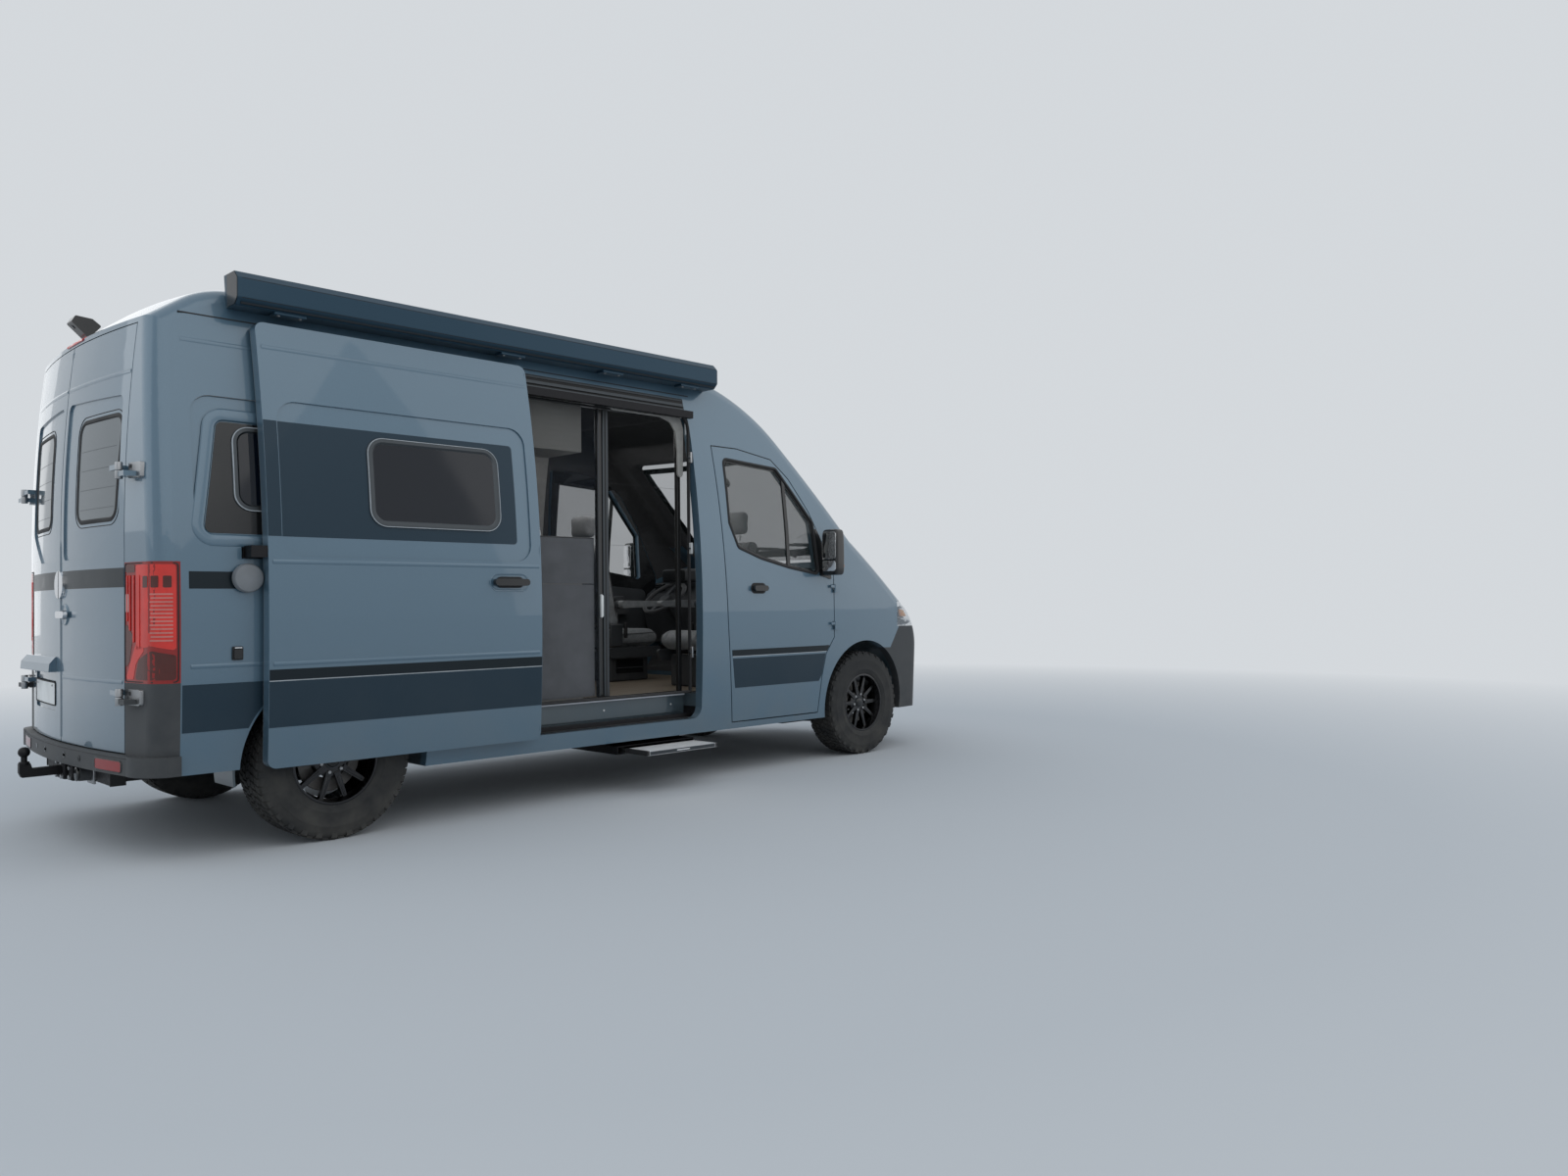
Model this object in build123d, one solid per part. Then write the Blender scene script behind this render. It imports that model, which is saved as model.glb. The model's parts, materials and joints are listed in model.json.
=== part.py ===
from build123d import *
import math
import os

os.makedirs("parts", exist_ok=True)

# Driving dimensions in millimetres, X forward from the rear axle, Y to the left, Z up from the ground
wheelbase = 3924.0
front_overhang = 1026.0
tow_ball_reach = 1075.0
rear_face = 900.0
bumper_stand = 30.0
body_half = 1010.0
belt_height = 1050.0
tumble_radius = 5960.0
roof_height = 2645.0
gutter_drop = 225.0
gutter_height = roof_height - gutter_drop
skirt_height = 300.0
rear_skirt_height = 385.0
wall = 60.0
bonnet_wall = 40.0
shut_gap = 5.0
wide_gap = 7.0
seat_gap = 0.3
glass_depth = 11.0
glass_thickness = 6.0
roof_edge_radius = 90.0
nose_edge_radius = 100.0

# Running gear
tyre_radius = 372.0
tyre_width = 235.0
rim_radius = 207.0
wheel_plane = 855.0
arch_radius = 452.0
kingpin_y = 775.0
front_house_wall = 500.0
rear_house_wall = 702.0
house_thickness = 10.0

# Floor and underframe
floor_top = 540.0
floor_thickness = 80.0
floor_low = floor_top - floor_thickness
rail_y = 420.0
rail_width = 70.0
rail_top = 460.0
rail_depth = 120.0

# Side openings and doors
slide_aperture_front = wheelbase - 1614.0
slide_aperture_rear = wheelbase - 2874.0
slide_aperture_top = gutter_height - 110.0
slide_aperture_low = 392.0
slide_door_rear = -364.5
slide_door_length = 1434.5
slide_door_low = slide_aperture_low - 8.0
slide_door_top = gutter_height - 8.0
slide_door_offset = 85.0
step_edge_y = 820.0
cab_joint_x = wheelbase - 1474.0
rear_post_x = -700.0
rear_door_half = 747.0
rear_door_low = 478.0
rear_door_top = gutter_height - 58.0
door_split = 8.0
cab_door_top = roof_height - 535.0
press_top = gutter_height - 370.0

front_axle = wheelbase
hub_height = tyre_radius
front_face = wheelbase + front_overhang
section_half = body_half + 50.0
below = 280.0


# Small shape helpers
def block(x0, x1, y0, y1, z0, z1):
    """A box between two corners."""
    return Solid.make_box(x1 - x0, y1 - y0, z1 - z0).moved(Location((x0, y0, z0)))


def polygon_face(points, corner):
    """A flat face with its corners rounded."""
    face = Face(Wire.make_polygon(points, close=True))
    if corner > 0:
        face = face.fillet_2d(corner, face.vertices())
    return face


def side_plate(points, y0, y1, corner=0.0):
    """An outline of x and z, as thick as y0 to y1."""
    face = polygon_face([Vector(x, y0, z) for x, z in points], corner)
    return Solid.extrude(face, Vector(0, y1 - y0, 0))


def plan_plate(points, z0, z1, corner=0.0):
    """An outline of x and y, as thick as z0 to z1."""
    face = polygon_face([Vector(x, y, z0) for x, y in points], corner)
    return Solid.extrude(face, Vector(0, 0, z1 - z0))


def front_plate(points, x0, x1, corner=0.0):
    """An outline of y and z, as thick as x0 to x1."""
    face = polygon_face([Vector(x0, y, z) for y, z in points], corner)
    return Solid.extrude(face, Vector(x1 - x0, 0, 0))


def window_points(x0, x1, z0, z1):
    """The corners of an upright rectangle."""
    return [(x0, z0), (x1, z0), (x1, z1), (x0, z1)]


def rod(start, end, radius):
    """A round bar between two points."""
    run = Vector(end) - Vector(start)
    return Solid.make_cylinder(radius, run.length, Plane(origin=start, z_dir=run))


def solids(*shapes):
    """All the solids of some shapes in one list."""
    found = []
    for shape in shapes:
        found.extend(shape.solids())
    return found


def join(*shapes):
    """One fused shape."""
    parts = solids(*shapes)
    if len(parts) == 1:
        return Compound(parts)
    return Compound(parts[0].fuse(*parts[1:]).solids())


def cut(shape, *tools):
    """A shape with tools taken away."""
    return Compound(solids(Compound(solids(shape)).cut(*solids(*tools))))


def common(shape, region):
    """The part of a shape inside a region."""
    found = []
    for piece in solids(shape):
        for zone in solids(region):
            both = piece.intersect(zone)
            if both:
                found.extend(both.solids())
    return Compound(found)


def mirrored(shape):
    """The same shape on the other side of the van."""
    return Compound([piece.mirror(Plane.XZ) for piece in solids(shape)])


to_row = (tow_ball_reach - front_face) / 2


def save(name, *shapes):
    """Writes one sub-part, moved so that the origin is under the middle of the van."""
    whole = Compound(solids(*shapes)).moved(Location((to_row, 0, 0)))
    export_step(whole, "parts/" + name + ".step")
    print(name, len(whole.solids()), "solids, valid", all(s.is_valid for s in whole.solids()))


# Body form: three lengthwise sections make a loft, which the cross-section trims to width
def section_wire(y, cab, inset, low):
    """The lengthwise outline at distance y from the middle; the side shift grows with y squared."""
    share = (y / section_half) ** 2

    def point(x, z, dx=0.0, dz=0.0):
        return Vector(x + dx * share, y, z + dz * share)

    if cab:
        rear = -rear_face + inset
        a = point(rear, low, 115)
        b = point(rear, 1300, 115)
        b_mid = point(rear + 12, 1850, 113)
        c = point(rear + 62, gutter_height - 30 - inset, 105)
        c_up = point(-rear_face + 230 + inset * 0.6, roof_height - 128 - inset, 85, -35)
        d = point(-rear_face + 480 + inset * 0.6, roof_height - 33 - inset, 40, -75)
        e = point(front_axle - 1774, roof_height - 5 - inset, 0, -80)
        f = point(front_axle - 664 - inset * 0.75, roof_height - 432 - inset * 0.75, -230, 0)
        g = point(front_axle + 291 - inset * 0.75, 1385 - inset * 0.75, -305, 0)
        h = point(front_axle - 324 - inset, 900, -150, 0)
        k = point(front_axle - 324 - inset, low, -150, 0)
        brow = Edge.make_tangent_arc(f, f - g, e)
        roof_arc = Edge.make_tangent_arc(e, brow.tangent_at(1), d)
        edges = [
            Edge.make_line(a, b),
            Edge.make_three_point_arc(b, b_mid, c),
            Edge.make_line(c, c_up),
            Edge.make_tangent_arc(d, roof_arc.tangent_at(1), c_up),
            roof_arc,
            brow,
            Edge.make_line(f, g),
            Edge.make_line(g, h),
            Edge.make_line(h, k),
            Edge.make_line(k, a),
        ]
    else:
        a = point(front_axle - 924, low)
        b = point(front_axle - 924, 1700 - inset)
        c = point(front_axle - 474, 1800 - inset)
        c_mid = point(front_axle + 291 - inset * 0.4, 1405 - inset * 0.9, -260, 0)
        d = point(front_axle + 866 - inset * 0.6, 1070 - inset * 0.8, -440, 0)
        e = point(front_face - 8 - inset, 760, -455, 0)
        g = point(front_face - 35 - inset, low, -440, 0)
        bonnet_arc = Edge.make_three_point_arc(c, c_mid, d)
        brow = Edge.make_tangent_arc(d, bonnet_arc.tangent_at(1), e)
        f = e + brow.tangent_at(1) * 240
        edges = [
            Edge.make_line(a, b),
            Edge.make_line(b, c),
            bonnet_arc,
            brow,
            Edge.make_line(e, f),
            Edge.make_line(f, g),
            Edge.make_line(g, a),
        ]
    return Wire(edges)


def side_half(z, inset):
    """Half the width of the body above the belt, where the sides lean in on a large radius."""
    return body_half - inset - (tumble_radius - math.sqrt(tumble_radius**2 - (z - belt_height) ** 2))


section_top = roof_height + 155.0


def cross_section(x, narrowing, inset, low):
    """The closed cross-section of the sides at x."""
    widest = body_half - narrowing - inset
    right = [
        (widest - 32, low),
        (widest - 8, belt_height - 400),
        (widest, belt_height),
        (side_half(1900, inset) - narrowing, 1900),
        (side_half(section_top, inset) - narrowing, section_top),
    ]
    r = [Vector(x, -y, z) for y, z in right]
    l = [Vector(x, y, z) for y, z in right]
    edges = [
        Edge.make_line(l[0], r[0]),
        Edge.make_three_point_arc(r[0], r[1], r[2]),
        Edge.make_three_point_arc(r[2], r[3], r[4]),
        Edge.make_line(r[4], l[4]),
        Edge.make_three_point_arc(l[4], l[3], l[2]),
        Edge.make_three_point_arc(l[2], l[1], l[0]),
    ]
    return Wire(edges)


nose_taper_x = front_axle - 724.0
nose_taper = 3.2e-5


def envelope(inset, low):
    """The sides: straight along the load space, drawn in along the nose."""
    rear = -rear_face - 300
    section = Face(cross_section(rear, 0, inset, low))
    straight = Solid.extrude(section, Vector(nose_taper_x - rear, 0, 0))
    ahead = front_face + 150
    sections = []
    for x in (nose_taper_x, (nose_taper_x + ahead) / 2, ahead):
        sections.append(cross_section(x, nose_taper * (x - nose_taper_x) ** 2, inset, low))
    nose = Solid.make_loft(sections)
    return straight.fuse(nose)


def lengthwise(cab, inset, low):
    """The loft of the lengthwise sections."""
    return Solid.make_loft([section_wire(y, cab, inset, low) for y in (-section_half, 0, section_half)])


def raw_form(inset, low):
    """The body form with sharp edges, the cab and load space first and the nose second."""
    sides = envelope(inset, low - 30)
    cab = lengthwise(True, inset, low).intersect(sides).solids()[0]
    nose = lengthwise(False, inset, low).intersect(sides).solids()[0]
    return cab, nose


def cab_edges(cab):
    """The two rear corners and the long edges of the roof and windscreen pillars."""
    chosen = []
    for edge in cab.edges():
        box = edge.bounding_box()
        if abs(edge.center().Y) < 700:
            continue
        upright = box.max.X < rear_post_x and box.size.Z > 200 and box.min.Z < gutter_height - 20
        roof = box.size.X > 100 and box.min.Z > 1300
        pillar_foot = box.min.X >= front_axle - 459 and box.max.Z <= 1386
        if upright or (roof and not pillar_foot):
            chosen.append(edge)
    return chosen


def nose_edges(nose):
    """The long edges of the bonnet sides and the front corners."""
    chosen = []
    for edge in nose.edges():
        box = edge.bounding_box()
        if abs(edge.center().Y) < 700:
            continue
        top = box.min.Z > belt_height - 10 and box.max.X > front_axle - 424 and box.size.Z > 15
        hidden = box.min.X < nose_taper_x + 10 and box.min.Z < belt_height + 10
        front = box.min.X > front_axle + 476 and box.max.Z < belt_height + 10
        if (top and not hidden) or front:
            chosen.append(edge)
    return chosen


cab_form, nose_form = raw_form(0.0, below)
cab_form = cab_form.fillet(roof_edge_radius, cab_edges(cab_form))
nose_form = nose_form.fillet(nose_edge_radius, nose_edges(nose_form))
outer = cab_form.fuse(nose_form)
inner_cab, inner_nose = raw_form(wall, below - 80)
inner = inner_cab.fuse(inner_nose)
shell = cut(outer, inner)
nose_shell = cut(nose_form, raw_form(bonnet_wall, below - 80)[1])
pane_back = raw_form(glass_depth + glass_thickness, below - 20)[0]
pane_skin = cut(raw_form(glass_depth, below)[0], pane_back)

# Pressed panels: shallow recesses that follow the body form, around the windows
press_depth = 8.0
press_skin = cut(outer, raw_form(press_depth, below)[0])
quarter_press = side_plate(window_points(-640, 905, 1420, press_top), -1300, -700, 90)
slide_press = side_plate(window_points(-300, 1010, 1335, press_top), -1300, -700, 90)
rear_press_points = [(45, 1335), (430, 1335), (700, 1490), (690, press_top), (45, press_top + 25)]
rear_press = front_plate(rear_press_points, -1100, -700, 35)


def pressed(panel, outline):
    """A panel with its recess cut; where the skin is thinner than the panel, the panel keeps its back."""
    return cut(panel, common(press_skin, outline))


# Wheel arches and the houses inside them
arch_tools = []
house_tools = []
wheel_houses = []
for axle_x, house_wall in ((0.0, rear_house_wall), (front_axle, front_house_wall)):
    for side in (-1, 1):
        near = (axle_x, side * house_wall, hub_height)
        far = (axle_x, side * 1300, hub_height)
        back = (axle_x, side * (house_wall - house_thickness), hub_height)
        arch_tools.append(rod(near, far, arch_radius))
        house_tools.append(rod(back, far, arch_radius + house_thickness))
        rim_end = (axle_x, side * body_half, hub_height)
        drum = cut(rod(back, rim_end, arch_radius + house_thickness), arch_tools[-1])
        above = block(axle_x - 600, axle_x + 600, -1300, 1300, skirt_height, 1200)
        under_floor = block(axle_x - 600, axle_x + 600, -house_wall, house_wall, 0, floor_low)
        wheel_houses.append(common(cut(common(drum, above), under_floor), inner))

# Windows: x or y from, to and z from, to, with the corner radius
quarter_window = side_plate(window_points(-460, 250, 1550, 1910), -1300, -400, 60)
slide_window = side_plate(window_points(130, 835, 1500, 1915), -1300, -400, 70)
dinette_window = side_plate(window_points(1420, 2160, 1490, 1940), 400, 1300, 70)
rear_window_points = [(215, 1500), (655, 1500), (695, 1970), (215, 1970)]
rear_window = front_plate(rear_window_points, -1100, rear_post_x, 60)
cab_door_height = 1060.0


def upper(rise):
    """A height above the belt in the cab, which keeps its place when the roof goes up or down."""
    return belt_height + rise * (cab_door_top - belt_height) / cab_door_height


cab_window_points = [
    (front_axle - 1354, upper(985)),
    (front_axle - 874, upper(955)),
    (front_axle - 560, upper(605)),
    (front_axle - 520, 1300),
    (front_axle - 824, 1345),
    (front_axle - 1084, 1400),
    (front_axle - 1284, 1465),
    (front_axle - 1352, upper(570)),
]
cab_window = side_plate(cab_window_points, -1300, -400, 30)
screen_low = 1440.0
screen_high = roof_height - 460.0
screen_points = [(-790, screen_low), (790, screen_low), (690, screen_high), (-690, screen_high)]
screen_hole = front_plate(screen_points, front_axle - 1000, front_axle + 400, 60)

# Load space sides, roof and rear frame
side_zone = block(rear_post_x, cab_joint_x, -1200, -400, skirt_height, gutter_height)
under_tail = block(rear_post_x, 0, -1200, -400, 0, rear_skirt_height)
side_wall = cut(common(shell, side_zone), under_tail)
slide_aperture_points = window_points(
    slide_aperture_rear, slide_aperture_front, slide_aperture_low, slide_aperture_top
)
slide_aperture = side_plate(slide_aperture_points, -1300, -400, 70)
mid_rail_z = 1355.0
mid_rail_height = 62.0
mid_rail_depth = 34.0
mid_rail_low = mid_rail_z - mid_rail_height / 2
mid_rail_top = mid_rail_z + mid_rail_height / 2
mid_rail_rear = -440.0
mid_rail_y = -body_half + mid_rail_depth
rail_groove = block(mid_rail_rear - 7, slide_aperture_rear + 1, -1300, mid_rail_y, mid_rail_low, mid_rail_top)
pressed_wall = pressed(side_wall, quarter_press)
side_right = cut(pressed_wall, slide_aperture, quarter_window, rail_groove, *arch_tools)
front_press = quarter_press.moved(Location((1650, 0, 0)))
side_left = mirrored(pressed(pressed_wall, front_press))
side_left = cut(side_left, mirrored(quarter_window), dinette_window, *arch_tools)
roof = common(shell, block(-1200, front_axle, -1200, 1200, gutter_height, 3000))

lamp_low = 785.0
lamp_top = 1307.0
bumper_top = 472.0
bumper_low = 388.0
post_edge = rear_door_half + shut_gap
post = common(shell, block(-1200, rear_post_x, post_edge, 1200, lamp_top, gutter_height))
header_low = rear_door_top + shut_gap
header = common(shell, block(-1200, rear_post_x, -post_edge, post_edge, header_low, gutter_height))
tail_lamp = common(shell, block(-1200, rear_post_x, post_edge, 1200, lamp_low, lamp_top))
corner_low = common(shell, block(-1200, rear_post_x, post_edge, 1200, bumper_top, lamp_low))

# Rear hinges: one barrel on the post and one on the door at each of two heights
rear_axis_x = -rear_face + 25.0
rear_axis_y = 790.0
barrel_radius = 13.0
barrel_height = 34.0
leaf_margin = 6.0
hinge_heights = (725.0, 1702.0)


def hinge_leaf(z, toward_door):
    """A barrel and the plate that carries it."""
    low = z + seat_gap / 2 if toward_door else z - seat_gap / 2 - barrel_height
    start = (rear_axis_x, rear_axis_y, low)
    barrel = rod(start, (rear_axis_x, rear_axis_y, low + barrel_height), barrel_radius)
    plate_low = low + leaf_margin
    plate_top = low + barrel_height - leaf_margin
    back = rear_axis_x - 8
    if toward_door:
        plate_end = rear_door_half - 60
        plate = block(back, rear_axis_x + 90, plate_end, rear_door_half, plate_low, plate_top)
        reach = block(back, rear_axis_x + 10, plate_end, rear_axis_y, plate_low, plate_top)
        return join(barrel, cut(plate, outer), reach)
    plate = block(back, rear_axis_x + 90, rear_axis_y, rear_axis_y + 90, plate_low, plate_top)
    return join(barrel, cut(plate, outer))


post_leaves = [hinge_leaf(z, False) for z in hinge_heights]
door_leaves = [hinge_leaf(z, True) for z in hinge_heights]
post_upper = join(post, post_leaves[1])
rear_frame = join(post_upper, mirrored(post_upper), header)
bumper_half = body_half + 4.0
bumper_middle = -rear_face - bumper_stand
bumper_edge = [
    (rear_post_x, bumper_half, 0),
    (rear_post_x - 60, bumper_half, 0),
    (bumper_middle + 108, bumper_half - 48, 0),
    (bumper_middle + 68, bumper_half - 184, 0),
]
bumper_far = [(x, -y, z) for x, y, z in bumper_edge]
bumper_plan = Wire([
    Edge.make_line(bumper_edge[0], bumper_edge[1]),
    Edge.make_three_point_arc(*bumper_edge[1:]),
    Edge.make_three_point_arc(bumper_edge[3], (bumper_middle, 0, 0), bumper_far[3]),
    Edge.make_three_point_arc(bumper_far[3], bumper_far[2], bumper_far[1]),
    Edge.make_line(bumper_far[1], bumper_far[0]),
    Edge.make_line(bumper_far[0], bumper_edge[0]),
])
bumper_height = bumper_top - bumper_low
bumper_beam = Solid.extrude(Face(bumper_plan), Vector(0, 0, bumper_height))
bumper_beam = bumper_beam.moved(Location((0, 0, bumper_low)))
corner_low = join(corner_low, post_leaves[0])
rear_bumper = join(cut(bumper_beam, inner), corner_low, mirrored(corner_low))

# Rear doors, each as thick as the wall
rear_door_zone = block(-1200, rear_post_x, door_split / 2, rear_door_half, rear_door_low, rear_door_top)
rear_door = common(shell, rear_door_zone)
rear_door = join(cut(pressed(rear_door, rear_press), rear_window), *door_leaves)
rear_pane = common(pane_skin, rear_window)
plate_low = 615.0
plate_high = 800.0
plate_corners = [(95, plate_low), (600, plate_low), (600, plate_high), (95, plate_high)]
plate_press = front_plate(plate_corners, -1100, -700, 20)
hood_line = [
    (-rear_face - 34, plate_high + 4),
    (-rear_face + 60, plate_high + 4),
    (-rear_face + 60, plate_high + 76),
    (-rear_face - 4, plate_high + 76),
    (-rear_face - 30, plate_high + 44),
]
plate_hood = cut(side_plate(hood_line, 80, 610, 3), outer)
rear_door_left = join(pressed(rear_door, plate_press), plate_hood)

# Floor with its step well, and the wheel houses
cab_floor_half = 922.0
load_floor = common(block(-770, cab_joint_x, -1200, 1200, floor_low, floor_top), inner)
cab_floor = block(cab_joint_x, front_axle - 500, -cab_floor_half, cab_floor_half, floor_low, floor_top)
floor_slab = join(load_floor, cab_floor)
well = block(slide_aperture_rear, slide_aperture_front, -1200, -step_edge_y, 0, floor_top + 10)
well_thickness = 12.0
well_low = slide_aperture_low - well_thickness
riser_back = -step_edge_y + well_thickness
well_floor = block(slide_aperture_rear, slide_aperture_front, -1200, -step_edge_y, well_low, slide_aperture_low)
well_riser = block(slide_aperture_rear, slide_aperture_front, -step_edge_y, riser_back, well_low, floor_low)
floor = join(cut(floor_slab, well, *house_tools), common(well_floor, inner), well_riser, *wheel_houses)

# Sliding door, left open beside the load space
slide_door_front = slide_door_rear + slide_door_length
slide_outline = window_points(slide_door_rear, slide_door_front, slide_door_low, slide_door_top)
slide_door_zone = side_plate(slide_outline, -1300, -400, 40)
open_offset = Location((0, -slide_door_offset, 0))
slide_panel = cut(pressed(common(shell, slide_door_zone), slide_press), slide_window)
sliding_door = Compound([s.moved(open_offset) for s in solids(slide_panel)])
slide_pane = Compound([s.moved(open_offset) for s in solids(common(pane_skin, slide_window))])

# Cab doors
cab_door_points = [
    (front_axle - 1344, 345),
    (front_axle - 530, 345),
    (front_axle - 494, 600),
    (front_axle - 454, 750),
    (front_axle - 368, 860),
    (front_axle - 368, 1330),
    (front_axle - 464, upper(450)),
    (front_axle - 594, upper(680)),
    (front_axle - 764, upper(895)),
    (front_axle - 914, upper(1015)),
    (front_axle - 1224, cab_door_top),
    (front_axle - 1444, cab_door_top),
    (front_axle - 1424, upper(630)),
    (front_axle - 1391, 970),
]
cab_door_face = Face(Wire.make_polygon([Vector(x, 0, z) for x, z in cab_door_points], close=True))
cab_gap_wire = cab_door_face.outer_wire().offset_2d(wide_gap)
cab_door_zone = Solid.extrude(cab_door_face, Vector(0, -1300, 0))
cab_door_hole = Solid.extrude(Face(cab_gap_wire), Vector(0, -1300, 0))
lock_edge = cut(cab_door_zone, cab_door_zone.moved(Location((16, 0, 0))))
cab_door = cut(common(shell, cab_door_zone), cab_window, common(lock_edge, pane_back))
cab_pane = common(pane_skin, cab_window)

# Cab door hinges: a barrel on the wing under a barrel on the door, at two heights
cab_hinge_x = front_axle - 368.0
cab_hinge_y = -1018.0
cab_barrel_radius = 8.0
cab_barrel_height = 30.0
cab_hinge_heights = (940.0, 1200.0)
leaf_depth = 28.0


def cab_leaf(z, toward_door):
    """One half of a cab door hinge."""
    low = z + seat_gap / 2 if toward_door else z - seat_gap / 2 - cab_barrel_height
    top = low + cab_barrel_height
    barrel = rod((cab_hinge_x, cab_hinge_y, low), (cab_hinge_x, cab_hinge_y, top), cab_barrel_radius)
    skin_y = cab_hinge_y + leaf_depth
    plate_low = low + leaf_margin
    plate_top = top - leaf_margin
    if toward_door:
        plate = block(cab_hinge_x - 45, cab_hinge_x, cab_hinge_y - 4, skin_y, plate_low, plate_top)
        return join(barrel, plate)
    plate_end = cab_hinge_x + 45
    bridge = block(cab_hinge_x, plate_end, cab_hinge_y - 4, cab_hinge_y + 5, plate_low, plate_top)
    plate = block(cab_hinge_x + wide_gap, plate_end, cab_hinge_y, skin_y, plate_low, plate_top)
    return join(barrel, bridge, plate)


cab_door = join(cab_door, *[cab_leaf(z, True) for z in cab_hinge_heights])
wing_leaves = [cab_leaf(z, False) for z in cab_hinge_heights]

# Nose pieces: zones cut from the shell
bonnet_rear_middle = front_axle + 262.0
bonnet_rear_side = front_axle + 95.0
bonnet_side_rear = 800.0
bonnet_side_front = 700.0
bonnet_front_z = 1045.0
bonnet_corners = [
    (bonnet_rear_side, bonnet_side_rear, 0),
    (front_face + 200, bonnet_side_front, 0),
    (front_face + 200, -bonnet_side_front, 0),
    (bonnet_rear_side, -bonnet_side_rear, 0),
]
bonnet_plan = Wire([
    Edge.make_three_point_arc(bonnet_corners[3], (bonnet_rear_middle, 0, 0), bonnet_corners[0]),
    *[Edge.make_line(a, b) for a, b in zip(bonnet_corners, bonnet_corners[1:])],
])
bonnet_gap_plan = bonnet_plan.offset_2d(wide_gap)
lamp_line = [(0, bonnet_front_z), (560, bonnet_front_z), (760, 1085), (1200, 1150)]
above_lamps = [(1200, 2000), (0, 2000)] + lamp_line
above_grown = [(1200, 2000), (0, 2000)] + [(y, z - wide_gap) for y, z in lamp_line]


def both_sides(points, x0, x1):
    """A front-view outline of the left half and its mirror image, as one shape."""
    half = front_plate(points, x0, x1)
    return join(half, mirrored(half))


def plan_prism(wire, z0, z1):
    """A plan outline as a tall prism."""
    return Solid.extrude(Face(wire), Vector(0, 0, z1 - z0)).moved(Location((0, 0, z0)))


far_front = front_face + 300
bonnet_zone = common(plan_prism(bonnet_plan, 900, 1700), both_sides(above_lamps, front_axle, far_front))
bonnet_hole = common(plan_prism(bonnet_gap_plan, 900, 1700), both_sides(above_grown, front_axle, far_front))
hinge_pin_x = bonnet_rear_side + 6.0
hinge_pin_z = 1436.0
hinge_pin_radius = 5.0
pin_inner = bonnet_side_rear - 22.0
pin_outer = bonnet_side_rear + 35.0
pin_bore_radius = hinge_pin_radius + seat_gap
hinge_pin = rod((hinge_pin_x, pin_inner, hinge_pin_z), (hinge_pin_x, pin_outer, hinge_pin_z), hinge_pin_radius)
pin_bore = rod((hinge_pin_x, pin_inner - 1, hinge_pin_z), (hinge_pin_x, 900, hinge_pin_z), pin_bore_radius)
bonnet = cut(common(nose_shell, bonnet_zone), pin_bore, mirrored(pin_bore))
wing_outline = [
    (front_axle - 530, skirt_height),
    (front_axle - 530, 345),
    (front_axle - 494, 600),
    (front_axle - 454, 750),
    (front_axle - 368, 860),
    (front_axle - 368, 1300),
    (front_axle + 120, 1465),
    (far_front, 1465),
    (far_front, skirt_height),
]
nose_zone = side_plate(wing_outline, -1300, 1300)
cab_door_holes = Compound(solids(cab_door_hole, mirrored(cab_door_hole)))
nose_ring = cut(common(shell, nose_zone), bonnet_hole, cab_door_holes, screen_hole, *arch_tools)
lamp_points = [(575, 900), (800, 905), (1200, 940), (1200, 1150), (760, 1085), (575, bonnet_front_z)]
lamp_zone = both_sides(lamp_points, front_axle + 400, far_front)
grille_zone = block(front_axle + 500, far_front, -575, 575, 690, bonnet_front_z)
bumper_side = [
    (front_axle + 131, skirt_height - 100),
    (front_axle + 131, 768),
    (front_axle + 309, 762),
    (front_axle + 428, 928),
    (far_front, 928),
    (far_front, skirt_height - 100),
]
bumper_zone = side_plate(bumper_side, -1300, 1300)
headlamps = common(nose_ring, lamp_zone)
grille_blank = cut(common(nose_ring, grille_zone), lamp_zone)
slots = [block(front_axle + 500, far_front, -510, 510, z, z + 55) for z in (740.0, 830.0, 920.0)]
grille = cut(grille_blank, *slots)
front_bumper = cut(common(nose_ring, bumper_zone), grille_zone, lamp_zone)
intake = block(front_axle + 700, far_front, -430, 430, 430, 560)
front_bumper = join(cut(front_bumper, intake), grille)
wings = cut(nose_ring, bumper_zone, lamp_zone, grille_zone, block(0, far_front, -500, 500, 0, 2000))
right_fittings = Compound(solids(mirrored(hinge_pin), *wing_leaves))
wings = join(wings, right_fittings, mirrored(right_fittings))

# Cab frame: pillars, header, sills, cowl and firewall
cab_zone = block(cab_joint_x, far_front, -1200, 1200, skirt_height, gutter_height)
frame_shell = cut(common(shell, cab_zone), cab_door_holes, screen_hole, bonnet_hole, nose_zone)
firewall_line = [
    (front_axle - 485, floor_low),
    (front_axle - 485, 560),
    (front_axle - 330, 760),
    (front_axle - 210, 1250),
    (front_axle + 150, 1300),
    (front_axle + 150, 1316),
    (front_axle - 222, 1266),
    (front_axle - 345, 768),
    (front_axle - 500, 568),
    (front_axle - 500, floor_low),
]
firewall = cut(common(side_plate(firewall_line, -cab_floor_half, cab_floor_half), inner), *house_tools)
cab_frame = join(frame_shell, firewall)
screen_pane = common(pane_skin, screen_hole)

# Wheels: tyre and rim, made about the Y axis and then placed
rim_half = 104.0
hub_face = 62.0
spoke_count = 10


def ring(profile):
    """A solid turned about the Y axis from an outline of radius and y."""
    points = [Vector(r, y, 0) for r, y in profile]
    return Solid.revolve(Face(Wire.make_polygon(points, close=True)), 360, Axis.Y)


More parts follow.
